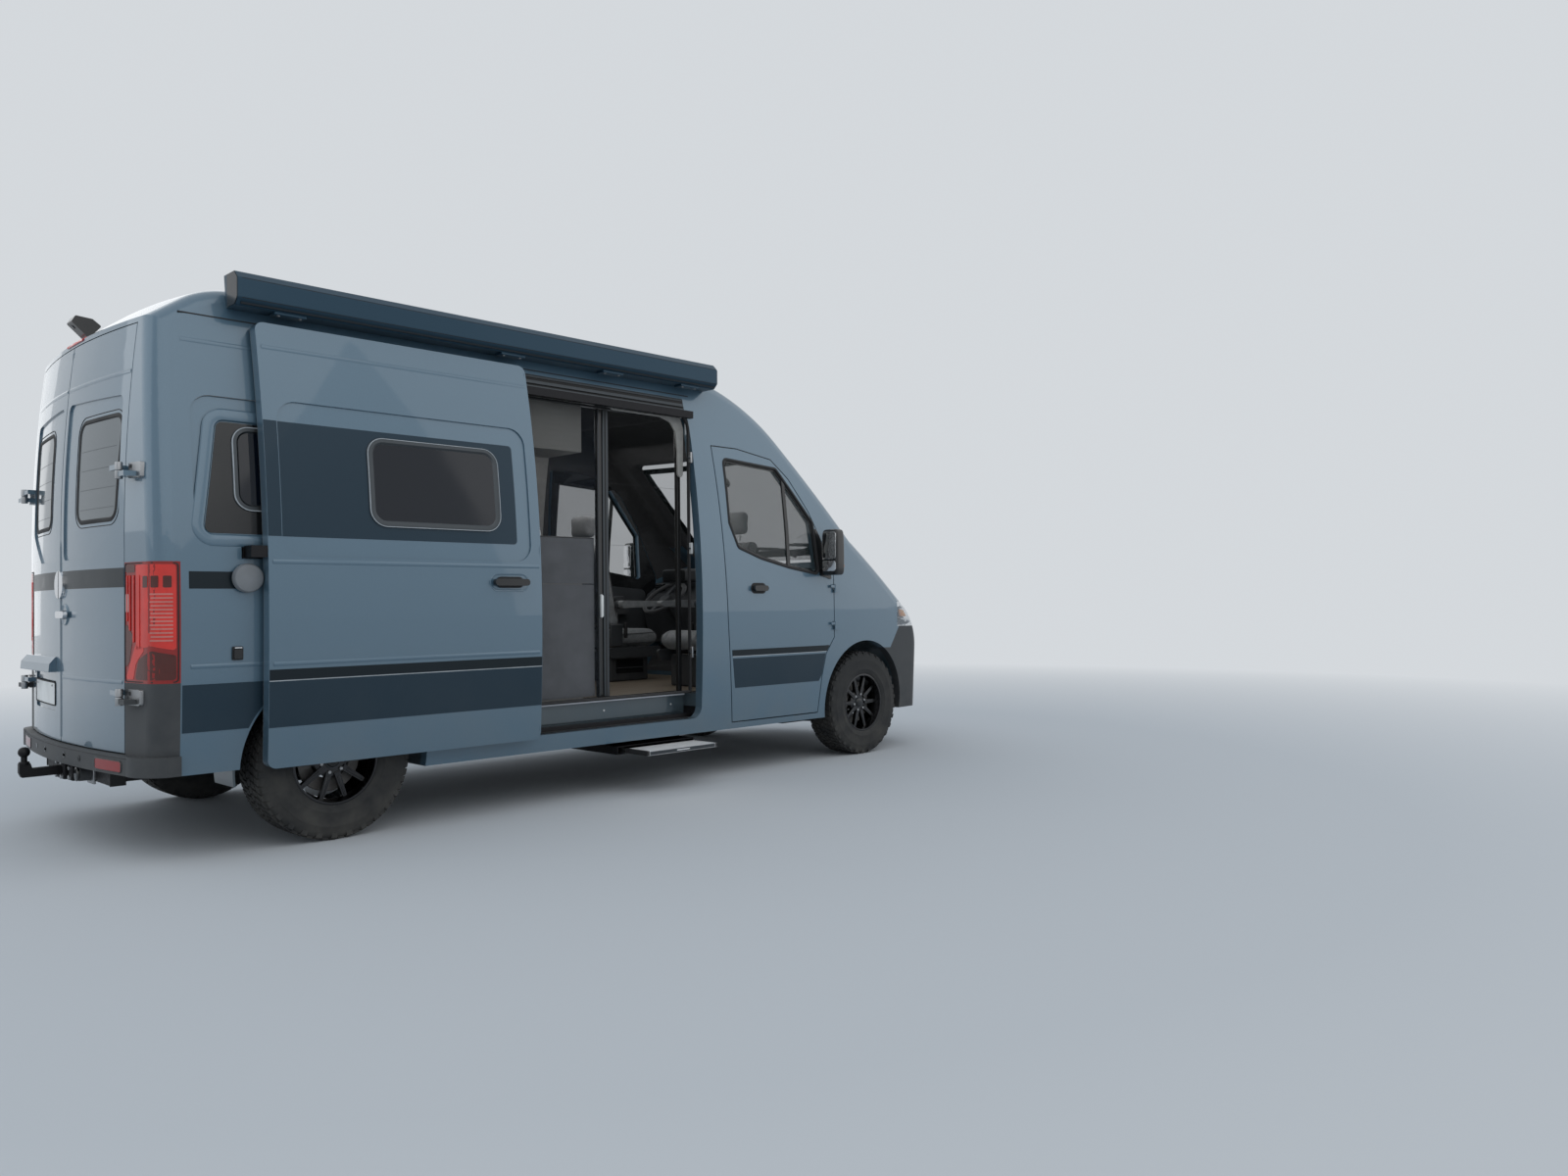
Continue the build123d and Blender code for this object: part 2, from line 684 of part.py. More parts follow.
tyre_line = [
    (rim_radius + seat_gap, tyre_width / 2),
    (tyre_radius - 16, tyre_width / 2),
    (tyre_radius, tyre_width / 2 - 18),
]
tyre = ring(tyre_line + [(r, -y) for r, y in reversed(tyre_line)])
rim_barrel = ring([
    (rim_radius, -rim_half),
    (rim_radius, -rim_half + 26),
    (rim_radius - 18, -rim_half + 44),
    (rim_radius - 18, rim_half - 52),
    (rim_radius, rim_half - 30),
    (rim_radius, rim_half),
    (rim_radius - 12, rim_half),
    (rim_radius - 26, rim_half - 44),
    (rim_radius - 26, -rim_half + 40),
    (rim_radius - 12, -rim_half),
])
hub_back_face = hub_face - 42.0
hub_disc = ring([(32, hub_back_face), (78, hub_back_face), (84, hub_face - 8), (70, hub_face), (32, hub_face)])
spoke = side_plate([(60, -15), (rim_radius - 20, -10), (rim_radius - 20, 10), (60, 15)], 0, 28)
spoke = common(spoke, ring([(0, -1), (rim_radius - 21, -1), (rim_radius - 21, 30), (0, 30)]))
spokes = []
for index in range(spoke_count):
    turned = [s.moved(Location((0, hub_face - 20, 0))) for s in solids(spoke)]
    spokes.extend([s.rotate(Axis.Y, 360 / spoke_count * index) for s in turned])
rim = join(rim_barrel, hub_disc, *spokes)

wheels = []
for axle_name, axle_x in (("front", front_axle), ("rear", 0.0)):
    for side_name, side in (("left", 1), ("right", -1)):
        place = Location((axle_x, side * wheel_plane, hub_height))
        turn = Location((0, 0, 0), (0, 0, 0 if side > 0 else 180))
        wheels.append((axle_name + "_" + side_name, place, turn))

# Knuckles on the kingpins, inside the rims
hub_back = wheel_plane + hub_back_face
upright_radius = 32.0
upright_low = hub_height - 130
upright_top = hub_height + 135
knuckle = join(
    rod((front_axle, kingpin_y, upright_low), (front_axle, kingpin_y, upright_top), upright_radius),
    rod((front_axle, kingpin_y - 20, hub_height), (front_axle, hub_back - seat_gap, hub_height), 58),
    rod((front_axle, kingpin_y, hub_height), (front_axle, wheel_plane + hub_face - 2, hub_height), 31.5),
)

# Front suspension: subframe, lower arms and struts
arm_top = upright_low - 0.5
arm_thickness = 26.0
arm_plan = [
    (front_axle - 190, 330),
    (front_axle + 150, 330),
    (front_axle + 120, 420),
    (front_axle + 45, 640),
    (front_axle + 40, kingpin_y + 30),
    (front_axle - 40, kingpin_y + 30),
    (front_axle - 45, 640),
    (front_axle - 170, 420),
]
lower_arm = plan_plate(arm_plan, arm_top - arm_thickness, arm_top, 12)
strut_y = 655.0
strut_radius = 32.0
strut_top = hub_height + math.sqrt(arch_radius**2 - strut_radius**2) - seat_gap
strut = rod((front_axle, strut_y, arm_top - 5), (front_axle, strut_y, strut_top), strut_radius)
subframe_low = 196.0
subframe = block(front_axle - 230, front_axle + 200, -360, 360, subframe_low, subframe_low + 90)
front_suspension = join(subframe, lower_arm, mirrored(lower_arm), strut, mirrored(strut))

# Rear axle: a dropped beam, stub axles and leaf springs
spring_y = 560.0
spring_half = 33.0
beam_low = 250.0
beam = block(-50, 50, -spring_y - 60, spring_y + 60, beam_low, beam_low + 85)
beam_end = block(-50, 50, spring_y + 20, spring_y + 60, beam_low, hub_height + 60)
stub = rod((0, spring_y + 20, hub_height), (0, hub_back - seat_gap, hub_height), 52)
stub_nose = rod((0, spring_y + 60, hub_height), (0, wheel_plane + hub_face - 2, hub_height), 31.5)
spring_top = beam_low + 85 + 28
leaf_face = Face(Wire([
    Edge.make_three_point_arc((-640, 0, rail_top - 60), (0, 0, spring_top - 14), (640, 0, rail_top - 60)),
    Edge.make_line((640, 0, rail_top - 60), (640, 0, rail_top - 88)),
    Edge.make_three_point_arc((640, 0, rail_top - 88), (0, 0, spring_top - 42), (-640, 0, rail_top - 88)),
    Edge.make_line((-640, 0, rail_top - 88), (-640, 0, rail_top - 60)),
]))
leaf = Solid.extrude(leaf_face, Vector(0, 2 * spring_half, 0)).moved(Location((0, spring_y - spring_half, 0)))
hanger_outer = spring_y + spring_half
hanger_inner = rail_y + rail_width
hangers = [block(x - 18, x + 18, hanger_inner, hanger_outer, rail_top - 90, rail_top) for x in (-640, 640)]
rear_half = join(beam_end, stub, stub_nose, leaf, *hangers)
rear_axle = join(beam, rear_half, mirrored(rear_half))

# Underframe: two rails, crossmembers, jacking pads and the step cassette
rail_rear = -760.0
rail_front = front_axle + 640.0
rail = block(rail_rear, front_axle - 520, rail_y, rail_y + rail_width, rail_top - rail_depth, rail_top)
front_rail = block(front_axle - 560, rail_front, rail_y, rail_y + rail_width, rail_top - 90, rail_top)
crossmembers = []
for x in (-560.0, 900.0, 1700.0, 2600.0):
    crossmembers.append(block(x, x + 60, -rail_y, rail_y, rail_top - rail_depth + 20, rail_top - 20))
bumper_bar = block(rail_front - 60, rail_front, -rail_y, rail_y, rail_top - 80, rail_top)
pads = [block(x - 40, x + 40, rail_y, rail_y + rail_width, rail_top - rail_depth - 25, rail_top - rail_depth)
        for x in (760.0, front_axle - 760)]
step_x0 = 1730.0
step_x1 = 2270.0
tread_out = 1170.0
tread_depth = 200.0
tread_top = 256.0
tread_thickness = 25.0
cassette_low = tread_top - tread_thickness - 12
cassette_top = tread_top + 12
cassette_outer = block(step_x0 - 30, step_x1 + 30, -925, -470, cassette_low, cassette_top)
cassette_slot = block(step_x0 - 22, step_x1 + 22, -1000, -478, cassette_low + 6, cassette_top - 6)
bracket_outer = -step_edge_y + 20
bracket_inner = -rail_y - rail_width
brackets = [
    block(x, x + 40, bracket_outer, bracket_inner, cassette_top, rail_top) for x in (step_x0 - 20, step_x1 - 20)
]
cassette = join(cut(cassette_outer, cassette_slot), *brackets)
side_rail = join(rail, front_rail, *pads)
underframe = join(side_rail, mirrored(side_rail), bumper_bar, cassette, *crossmembers)
tread = block(step_x0, step_x1, -tread_out, -tread_out + tread_depth, tread_top - tread_thickness, tread_top)
step_arms = [
    block(x, x + 30, -tread_out + tread_depth, -770, cassette_low + 6 + seat_gap, tread_top - 6)
    for x in (step_x0 + 20, step_x1 - 50)
]
step = join(tread, *step_arms)

# Engine, exhaust, tanks and tow bar
engine = block(front_axle - 60, front_axle + 560, -rail_y, rail_y, rail_top - 80, 1000)
exhaust_y = 350.0
exhaust_z = 270.0
pipe_radius = 25.0
silencer_radius = 70.0
silencer_rear = 250.0
silencer_front = 700.0
tail_end = 90.0
crossmember_low = rail_top - rail_depth + 20
main_pipe = rod((tail_end, exhaust_y, exhaust_z), (front_axle - 245, exhaust_y, exhaust_z), pipe_radius)
tail_bore = rod((tail_end, exhaust_y, exhaust_z), (tail_end + 120, exhaust_y, exhaust_z), pipe_radius - 2)
silencer = rod((silencer_rear, exhaust_y, exhaust_z), (silencer_front, exhaust_y, exhaust_z), silencer_radius)
silencer_top = exhaust_z + silencer_radius
silencer_strap = block(460, 490, exhaust_y, rail_y, silencer_top - 10, silencer_top + 10)
hanger_half = 6.0
pipe_hangers = [
    block(x + 15, x + 45, exhaust_y - hanger_half, exhaust_y + hanger_half, exhaust_z, crossmember_low)
    for x in (1700.0, 2600.0)
]
exhaust = cut(join(main_pipe, silencer, silencer_strap, *pipe_hangers), tail_bore)
tank_fresh = plan_plate([(1000, 30), (1660, 30), (1660, 400), (1000, 400)], rail_top - 150, rail_top, 30)
tank_waste = plan_plate([(1790, -400), (2560, -400), (2560, 300), (1790, 300)], rail_top - 170, rail_top, 30)
tanks = Compound(solids(tank_fresh, tank_waste))
beam_z = 345.0
tow_beam = block(-835, -775, -520, 520, beam_z - 35, beam_z + 25)
tow_plate = block(-815, -600, rail_y - 12, rail_y, beam_z - 35, rail_top - 20)
ball_x = -tow_ball_reach + 25
ball_z = 440.0
neck_plate = side_plate(
    [(-835, beam_z - 22), (ball_x - 12, beam_z - 22), (ball_x - 22, beam_z), (ball_x - 22, beam_z + 45),
     (ball_x + 22, beam_z + 45), (ball_x + 30, beam_z + 18), (-835, beam_z + 20)],
    -16, 16, 6,
)
ball_radius = 25.0
ball_neck = 13.0
ball_flat = 8.0
neck_rise = math.sqrt(ball_radius**2 - ball_neck**2)
flat_rise = math.sqrt(ball_radius**2 - ball_flat**2)
ball_profile = Wire([
    Edge.make_line((0, 0, beam_z + 40), (ball_neck, 0, beam_z + 40)),
    Edge.make_line((ball_neck, 0, beam_z + 40), (ball_neck, 0, ball_z - neck_rise)),
    Edge.make_three_point_arc(
        (ball_neck, 0, ball_z - neck_rise), (ball_radius, 0, ball_z), (ball_flat, 0, ball_z + flat_rise)
    ),
    Edge.make_line((ball_flat, 0, ball_z + flat_rise), (0, 0, ball_z + flat_rise)),
    Edge.make_line((0, 0, ball_z + flat_rise), (0, 0, beam_z + 40)),
])
ball = Solid.revolve(Face(ball_profile), 360, Axis.Z).moved(Location((ball_x, 0, 0)))
tow_bar = join(tow_beam, neck_plate, ball, tow_plate, mirrored(tow_plate))

# Roof fittings: awning case, two roof lights and the rear camera
awning_rear = -450.0
awning_front = 2480.0
awning_low = gutter_height + 50.0
awning_top = roof_height - 20.0
awning_back = side_half(awning_low, 0) + seat_gap
awning_points = [
    (-awning_back, awning_low), (-945, awning_low), (-975, awning_low + 30), (-975, awning_top - 35),
    (-940, awning_top), (-awning_back + 25, awning_top),
]
awning_face = polygon_face([Vector(awning_rear, y, z) for y, z in awning_points], 0)
awning_face = awning_face.fillet_2d(14, [v for v in awning_face.vertices() if v.Y < -900])
awning_case = Solid.extrude(awning_face, Vector(awning_front - awning_rear, 0, 0))
light_half = 250.0
light_low = roof_height - 45.0
light_top = roof_height + 37.0
roof_lights = []
for x in (150.0, 1450.0):
    light_outline = window_points(x - light_half, x + light_half, -light_half, light_half)
    roof_lights.append(cut(plan_plate(light_outline, light_low, light_top, 60), outer))
camera_points = [
    (-868, roof_height - 161),
    (-790, roof_height - 235),
    (-735, roof_height - 165),
    (-775, roof_height - 133),
    (-850, roof_height - 127),
]
camera = cut(side_plate(camera_points, -42, 42, 8), outer)
roof_fittings = Compound(solids(*roof_lights, camera))

# Mirrors on the cab doors
mirror_root = body_half + 25.0
mirror_width = 137.5
mirror_reach = mirror_root + mirror_width
mirror_low = 1290.0
mirror_plan = [
    (front_axle - 545, -mirror_root),
    (front_axle - 520, -mirror_reach),
    (front_axle - 430, -mirror_reach),
    (front_axle - 390, -mirror_root),
]
mirror_shell = plan_plate(mirror_plan, mirror_low, mirror_low + 320, 28)
mirror_arm = block(front_axle - 500, front_axle - 410, -mirror_root - 25, -900, mirror_low, mirror_low + 40)
mirror_housing = join(mirror_shell, cut(mirror_arm, outer))

# Cab furniture
dash_line = [
    (front_axle - 520, 1180),
    (front_axle - 560, 1080),
    (front_axle - 500, 800),
    (front_axle - 400, 800),
    (front_axle - 260, 1240),
    (front_axle + 60, 1318),
    (front_axle + 20, 1345),
    (front_axle - 300, 1320),
]
dash_blank = cut(common(side_plate(dash_line, -860, 860), inner), firewall, *house_tools)
dashboard = Compound([max(solids(dash_blank), key=lambda s: s.volume)])
wheel_centre = (front_axle - 660.0, 480.0, 1150.0)
column_plane = Plane(origin=wheel_centre, z_dir=(0.62, 0, -0.78))
steering_section = [
    (175 + 15 * math.cos(math.radians(a)), 15 * math.sin(math.radians(a))) for a in range(0, 360, 60)
]
steering_rim = ring(steering_section).rotate(Axis.X, 90).moved(column_plane.location)
steering_hub = Solid.make_cylinder(45, 60, column_plane)
steering_bar = Solid.make_box(340, 34, 16).moved(Location((-170, -17, -8))).moved(column_plane.location)
column_far = Vector(wheel_centre) + column_plane.z_dir * 260
column_pieces = solids(cut(rod(wheel_centre, column_far, 28), dashboard))
steering_column = min(column_pieces, key=lambda s: s.center().X)
steering_wheel = join(steering_rim, steering_hub, steering_bar, steering_column)


def seat(centre_y, back_x, facing):
    """A cab seat: pedestal, cushion, backrest and head restraint; facing is +1 forward and -1 rearward."""
    def x(distance):
        return back_x + facing * distance

    def pad(outline, half, corner):
        points = [(x(distance), height) for distance, height in outline]
        return side_plate(points, centre_y - half, centre_y + half, corner)

    pedestal = pad([(90, floor_top), (450, floor_top), (450, 810), (90, 810)], 180, 0)
    cushion = pad([(40, 790), (540, 800), (540, 920), (40, 900)], 240, 40)
    back = pad([(60, 900), (180, 900), (60, 1560), (-60, 1560)], 235, 40)
    head = pad([(40, 1565), (50, 1760), (-60, 1760), (-55, 1565)], 130, 30)
    posts = [rod((x(0), centre_y + s * 60, 1540), (x(-5), centre_y + s * 60, 1590), 8) for s in (-1, 1)]
    return join(pedestal, cushion, back, head, *posts)


driver_seat = seat(480, front_axle - 1420, 1)
passenger_seat = seat(-480, front_axle - 830, -1)
front_seats = Compound(solids(driver_seat, passenger_seat))

# Living space
kitchen_front = -785.0
kitchen_back = -330.0
kitchen_top = 1330.0
worktop = 30.0
kitchen_block = block(470, 1560, kitchen_front, kitchen_back, floor_top, kitchen_top - worktop)
worktop_edge = kitchen_back + 12
worktop_points = [(470, kitchen_front), (1572, kitchen_front), (1572, worktop_edge), (470, worktop_edge)]
worktop_slab = plan_plate(worktop_points, kitchen_top - worktop, kitchen_top)
toe_recess = block(470, 1560, kitchen_back - 40, kitchen_back, floor_top, floor_top + 80)
sink_points = [(1150, -690), (1450, -690), (1450, -420), (1150, -420)]
sink_bowl = plan_plate(sink_points, kitchen_top - 140, kitchen_top, 50)
hob_points = [(600, -700), (1040, -700), (1040, -400), (600, -400)]
hob_recess = plan_plate(hob_points, kitchen_top - 18, kitchen_top, 25)
kitchen = cut(join(kitchen_block, worktop_slab), toe_recess, sink_bowl, hob_recess)
wardrobe = common(block(470, 1330, 230, 1000, floor_top, gutter_height + 60), inner)
bed_top = 1080.0
bed_frame = cut(common(block(-740, 400, -1000, 1000, bed_top - 60, bed_top), inner), *house_tools)
mattress = common(block(-740, 400, -850, 850, bed_top + seat_gap, bed_top + 120), inner)
locker = common(block(-700, 400, 560, 1000, gutter_height - 290, gutter_height), inner)
kitchen_locker_low = gutter_height - 420.0
kitchen_locker_top = gutter_height - 120.0
kitchen_locker = join(
    common(block(470, slide_aperture_rear - 4, -1000, -440, kitchen_locker_low, kitchen_locker_top), inner),
    block(slide_aperture_rear - 4, 1560, kitchen_front, -440, kitchen_locker_low, kitchen_locker_top),
)
cabinets = Compound(solids(locker, mirrored(locker), kitchen_locker))

# Insect screen in the doorway: a frame, a pleated net drawn to the middle and its pull bar
screen_y = -step_edge_y + 4.0
screen_depth = 28.0
net_front = slide_aperture_rear + 600.0
screen_top = slide_aperture_top - 16
frame_bar = 26.0


def screen_box(x0, x1, z0, z1, depth):
    """A bar of the screen frame, centred in its depth."""
    middle = screen_y + screen_depth / 2
    return block(x0, x1, middle - depth / 2, middle + depth / 2, z0, z1)


screen_rear = slide_aperture_rear + 4
screen_front = slide_aperture_front - 4
flyscreen = join(
    screen_box(screen_rear, screen_front, floor_top, floor_top + 14, screen_depth),
    screen_box(screen_rear, screen_front, screen_top - frame_bar, screen_top, screen_depth),
    screen_box(screen_rear, screen_rear + frame_bar, floor_top + 14, screen_top - frame_bar, screen_depth),
    screen_box(screen_front - frame_bar, screen_front, floor_top + 14, screen_top - frame_bar, screen_depth),
    screen_box(net_front, net_front + 30, floor_top + 14, screen_top - frame_bar, screen_depth),
    screen_box(screen_rear + frame_bar, net_front, floor_top + 14, screen_top - frame_bar, 4),
)

# Sliding door rails on the body and the arms that carry the open door on them
channel_end = slide_aperture_rear - 6
mid_channel = block(mid_rail_rear, channel_end, mid_rail_y - 22, mid_rail_y, mid_rail_low, mid_rail_top)
door_inner_y = -body_half - slide_door_offset + wall
arm_outer = door_inner_y - wall + 12
arm_inner = -body_half + 12
mid_arm = block(mid_rail_rear + 4, slide_door_rear, arm_outer, arm_inner, mid_rail_low + 5, mid_rail_top - 5)
rail_end = slide_aperture_front - 4.0
upper_rail = block(slide_door_front, rail_end, -940, -902, slide_aperture_top - 44, slide_aperture_top)
lower_rail = block(slide_aperture_rear + 4, rail_end, -900, -868, slide_aperture_low, slide_aperture_low + 26)

save("side_right", side_right)
save("side_left", side_left)
save("roof", roof)
save("rear_frame", rear_frame)
save("rear_bumper", rear_bumper)
save("tail_lamps", tail_lamp, mirrored(tail_lamp))
save("floor", floor)
save("sliding_door", sliding_door)
save("rear_door_left", rear_door_left)
save("rear_door_right", mirrored(rear_door))
save("rear_glass_left", rear_pane)
save("rear_glass_right", mirrored(rear_pane))
save("cab_door_right", cab_door)
save("cab_door_left", mirrored(cab_door))
save("cab_glass_right", cab_pane)
save("cab_glass_left", mirrored(cab_pane))
save("bonnet", bonnet)
save("headlamps", headlamps)
save("front_bumper", front_bumper)
save("front_wings", wings)
save("cab_frame", cab_frame)
save(
    "windows",
    screen_pane,
    common(pane_skin, quarter_window),
    mirrored(common(pane_skin, quarter_window)),
    common(pane_skin, dinette_window),
    slide_pane,
)
save("underframe", underframe, tanks)
save("front_suspension", front_suspension)
save("rear_axle", rear_axle)
save("engine", engine, exhaust)
save("tow_bar", tow_bar)
save("step", step)
save("knuckle_left", knuckle)
save("knuckle_right", mirrored(knuckle))
for name, place, turn in wheels:
    save("tyre_" + name, tyre.moved(place * turn))
    save("rim_" + name, *[s.moved(place * turn) for s in solids(rim)])
save("awning_case", awning_case)
save("roof_fittings", roof_fittings)
save("mirror_right", mirror_housing)
save("mirror_left", mirrored(mirror_housing))
save("dashboard", dashboard, steering_wheel)
save("front_seats", front_seats)
save("kitchen", kitchen)
save("bed_frame", bed_frame)
save("mattress", mattress)
save("cabinets", cabinets, wardrobe)
save("flyscreen", flyscreen)
save("door_rails", mid_channel, mid_arm, upper_rail, lower_rail)
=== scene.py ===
import json
import math
import bpy
import bmesh
from mathutils import Matrix, Vector
from mathutils.bvhtree import BVHTree

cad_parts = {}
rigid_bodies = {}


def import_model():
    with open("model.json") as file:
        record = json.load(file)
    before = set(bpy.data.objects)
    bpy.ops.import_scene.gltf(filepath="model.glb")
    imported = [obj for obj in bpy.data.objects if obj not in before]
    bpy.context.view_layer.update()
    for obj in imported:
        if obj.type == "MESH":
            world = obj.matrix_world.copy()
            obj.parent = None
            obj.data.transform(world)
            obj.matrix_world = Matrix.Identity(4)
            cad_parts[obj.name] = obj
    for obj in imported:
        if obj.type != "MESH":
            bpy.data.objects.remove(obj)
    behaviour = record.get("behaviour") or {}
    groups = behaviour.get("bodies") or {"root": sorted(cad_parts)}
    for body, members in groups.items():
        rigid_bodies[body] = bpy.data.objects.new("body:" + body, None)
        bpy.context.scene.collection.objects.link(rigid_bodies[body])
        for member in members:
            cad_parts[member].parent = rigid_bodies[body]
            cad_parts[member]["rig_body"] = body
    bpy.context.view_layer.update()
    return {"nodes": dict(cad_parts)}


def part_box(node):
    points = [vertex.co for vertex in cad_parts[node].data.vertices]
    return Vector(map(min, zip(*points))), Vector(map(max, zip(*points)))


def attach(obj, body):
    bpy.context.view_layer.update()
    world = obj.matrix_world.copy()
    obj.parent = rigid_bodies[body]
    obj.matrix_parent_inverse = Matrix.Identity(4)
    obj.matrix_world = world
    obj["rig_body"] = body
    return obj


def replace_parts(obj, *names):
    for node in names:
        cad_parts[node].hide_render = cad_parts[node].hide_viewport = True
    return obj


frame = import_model()
nodes = frame["nodes"]

# Lengths are in metres, only profiles are in millimetres; X is measured from the rear axle and S brings it to the
# row frame
S = -1.9375
FRONT_AXLE = 3.924
AXLE_Z = 0.372
TRACK_HALF = 0.8545
RECESS = 0.008
FILM = 0.0012
SLIDE_OUT = 0.085
HINGE_X, HINGE_Y, HINGE_Z = -0.875, 0.79, (0.725, 1.702)
FLOOR_Z = 0.5425
WORKTOP_Z = 1.33
ENGINE_TOP_Z = 1.0
CAB_REAR_X = 2.3
DUST = (0.20, 0.19, 0.165)
# The grid in which a sheet is cut where it is plane
COARSE = (0.5, 0.5)


# Materials
def feed(tree, n, inputs):
    """Sets a node's inputs to values, or links them to the outputs of other nodes."""
    for key, value in inputs.items():
        if isinstance(value, bpy.types.NodeSocket):
            tree.links.new(value, n.inputs[key])
        else:
            n.inputs[key].default_value = value


def shader(tree, kind, inputs=None, **settings):
    """A new shader node with its inputs and settings."""
    n = tree.nodes.new("ShaderNode" + kind)
    for key, value in settings.items():
        setattr(n, key, value)
    feed(tree, n, inputs or {})
    return n


def shade(m, inputs):
    feed(m.node_tree, m.node_tree.nodes["Principled BSDF"], inputs)


def new_material(name, color, rough, metal=0.0, coat=0.0, coat_rough=0.05, sheen=0.0, spec=0.5):
    m = bpy.data.materials.new(name)
    m.use_nodes = True
    m.diffuse_color = (*color, 1)
    shade(m, {"Base Color": (*color, 1), "Roughness": rough, "Metallic": metal, "Coat Weight": coat,
              "Coat Roughness": coat_rough, "IOR": 1.5, "Sheen Weight": sheen, "Specular IOR Level": spec})
    return m


def coords(m):
    return shader(m.node_tree, "TexCoord").outputs["Object"]


def noise(m, scale, detail=4.0, stretch=(1, 1, 1), rough=0.55):
    at = shader(m.node_tree, "Mapping", {"Vector": coords(m), "Scale": stretch}).outputs["Vector"]
    inputs = {"Vector": at, "Scale": scale, "Detail": detail, "Roughness": rough}
    return shader(m.node_tree, "TexNoise", inputs).outputs["Fac"]


def ramp(m, fac, low, high, a, b):
    inputs = {"Value": fac, "From Min": low, "From Max": high, "To Min": a, "To Max": b}
    return shader(m.node_tree, "MapRange", inputs).outputs["Result"]


def tint(color, factor):
    return tuple(min(c * factor, 1) for c in color)


def mix_color(m, fac, a, b):
    a, b = ((*c, 1) if isinstance(c, tuple) else c for c in (a, b))
    return shader(m.node_tree, "Mix", {0: fac, 6: a, 7: b}, data_type="RGBA").outputs[2]


def bump(m, fac, strength, distance):
    """A bump laid over the ones that are there."""
    b = shader(m.node_tree, "Bump", {"Strength": strength, "Distance": distance, "Height": fac})
    normal = m.node_tree.nodes["Principled BSDF"].inputs["Normal"]
    if normal.is_linked:
        m.node_tree.links.new(normal.links[0].from_socket, b.inputs["Normal"])
    shade(m, {"Normal": b.outputs["Normal"]})


def height_mask(m, low, high):
    """1 below the height low, 0 above high."""
    return ramp(m, shader(m.node_tree, "SeparateXYZ", {"Vector": coords(m)}).outputs["Z"], low, high, 1.0, 0.0)


def multiply(m, a, b):
    return shader(m.node_tree, "Math", {0: a, 1: b}, operation="MULTIPLY").outputs[0]


def paint(name, color, dust, coat=1.0, spec=0.5):
    m = new_material(name, color, 0.34, metal=0.25, coat=coat, coat_rough=0.035, spec=spec)
    fine = noise(m, 900, 2)
    cloud = noise(m, 2.2, 5)
    base = mix_color(m, ramp(m, fine, 0.35, 0.65, 0.0, 1.0), tint(color, 0.93), tint(color, 1.07))
    dusty = multiply(m, height_mask(m, 0.3, 0.95), ramp(m, cloud, 0.35, 0.75, 0.0, dust))
    shade(m, {"Base Color": mix_color(m, dusty, base, DUST), "Roughness": ramp(m, cloud, 0.3, 0.7, 0.3, 0.4)})
    bump(m, noise(m, 260, 2), 0.04, 0.0004)
    return m


def plastic(name, color, rough, grain=700, depth=0.25, dust=0.0):
    m = new_material(name, color, rough)
    n = noise(m, grain, 3)
    big = noise(m, 7, 5)
    tone = mix_color(m, ramp(m, big, 0.3, 0.7, 0.0, 1.0), tint(color, 0.86), tint(color, 1.16))
    if dust:
        low = multiply(m, height_mask(m, 0.1, 0.9), ramp(m, big, 0.35, 0.7, 0.0, dust))
        tone = mix_color(m, low, tone, (0.17, 0.155, 0.13))
    shade(m, {"Base Color": tone, "Roughness": ramp(m, big, 0.3, 0.7, rough - 0.06, min(rough + 0.08, 1))})
    bump(m, n, depth, 0.0006)
    return m


def metal(name, color, rough, stretch=(1, 1, 1), scale=60, coat=0.0):
    m = new_material(name, color, rough, metal=1.0, coat=coat)
    n = noise(m, scale, 5, stretch)
    shade(m, {"Roughness": ramp(m, n, 0.3, 0.7, max(rough - 0.08, 0.02), rough + 0.1),
              "Base Color": mix_color(m, n, tint(color, 0.85), tint(color, 1.1))})
    bump(m, n, 0.06, 0.0005)
    return m


def glass(name, color, alpha, rough=0.03):
    m = new_material(name, color, rough)
    shade(m, {"Alpha": alpha, "Roughness": ramp(m, noise(m, 5, 4), 0.3, 0.7, rough, rough + 0.05)})
    bump(m, noise(m, 1.6, 2), 0.05, 0.003)
    return m


def weave(m, scale, strength, distance):
    """Three crossing wave patterns as a fine weave."""
    woven = None
    for direction in "XZY":
        inputs = {"Scale": scale, "Distortion": 0.6, "Vector": coords(m)}
        wave = shader(m.node_tree, "TexWave", inputs, bands_direction=direction)
        thread = ramp(m, wave.outputs["Fac"], 0, 1, 0.3, 1)
        woven = thread if woven is None else multiply(m, woven, thread)
    bump(m, woven, strength, distance)
    return woven


def cloth(name, color, second, scale=180, rough=0.9):
    m = new_material(name, color, rough, sheen=0.35, spec=0.25)
    w = weave(m, scale, 0.5, 0.0012)
    spots = noise(m, 34, 5)
    tone = mix_color(m, ramp(m, spots, 0.35, 0.65, 0.0, 1.0), color, second)
    shade(m, {"Base Color": mix_color(m, ramp(m, w, 0.0, 0.7, 0.35, 0.0), tone, tint(color, 0.55))})
    return m


def mesh_net(name, color, alpha):
    m = cloth(name, color, tint(color, 0.8), 420)
    shade(m, {"Alpha": alpha})
    return m


def wood(name, light, dark, direction=(1, 14, 14)):
    m = new_material(name, light, 0.42)
    g = noise(m, 3.2, 8, direction, 0.65)
    shade(m, {"Base Color": mix_color(m, ramp(m, g, 0.32, 0.68, 0.0, 1.0), light, dark),
              "Roughness": ramp(m, g, 0.3, 0.7, 0.36, 0.52)})
    bump(m, g, 0.08, 0.0008)
    return m


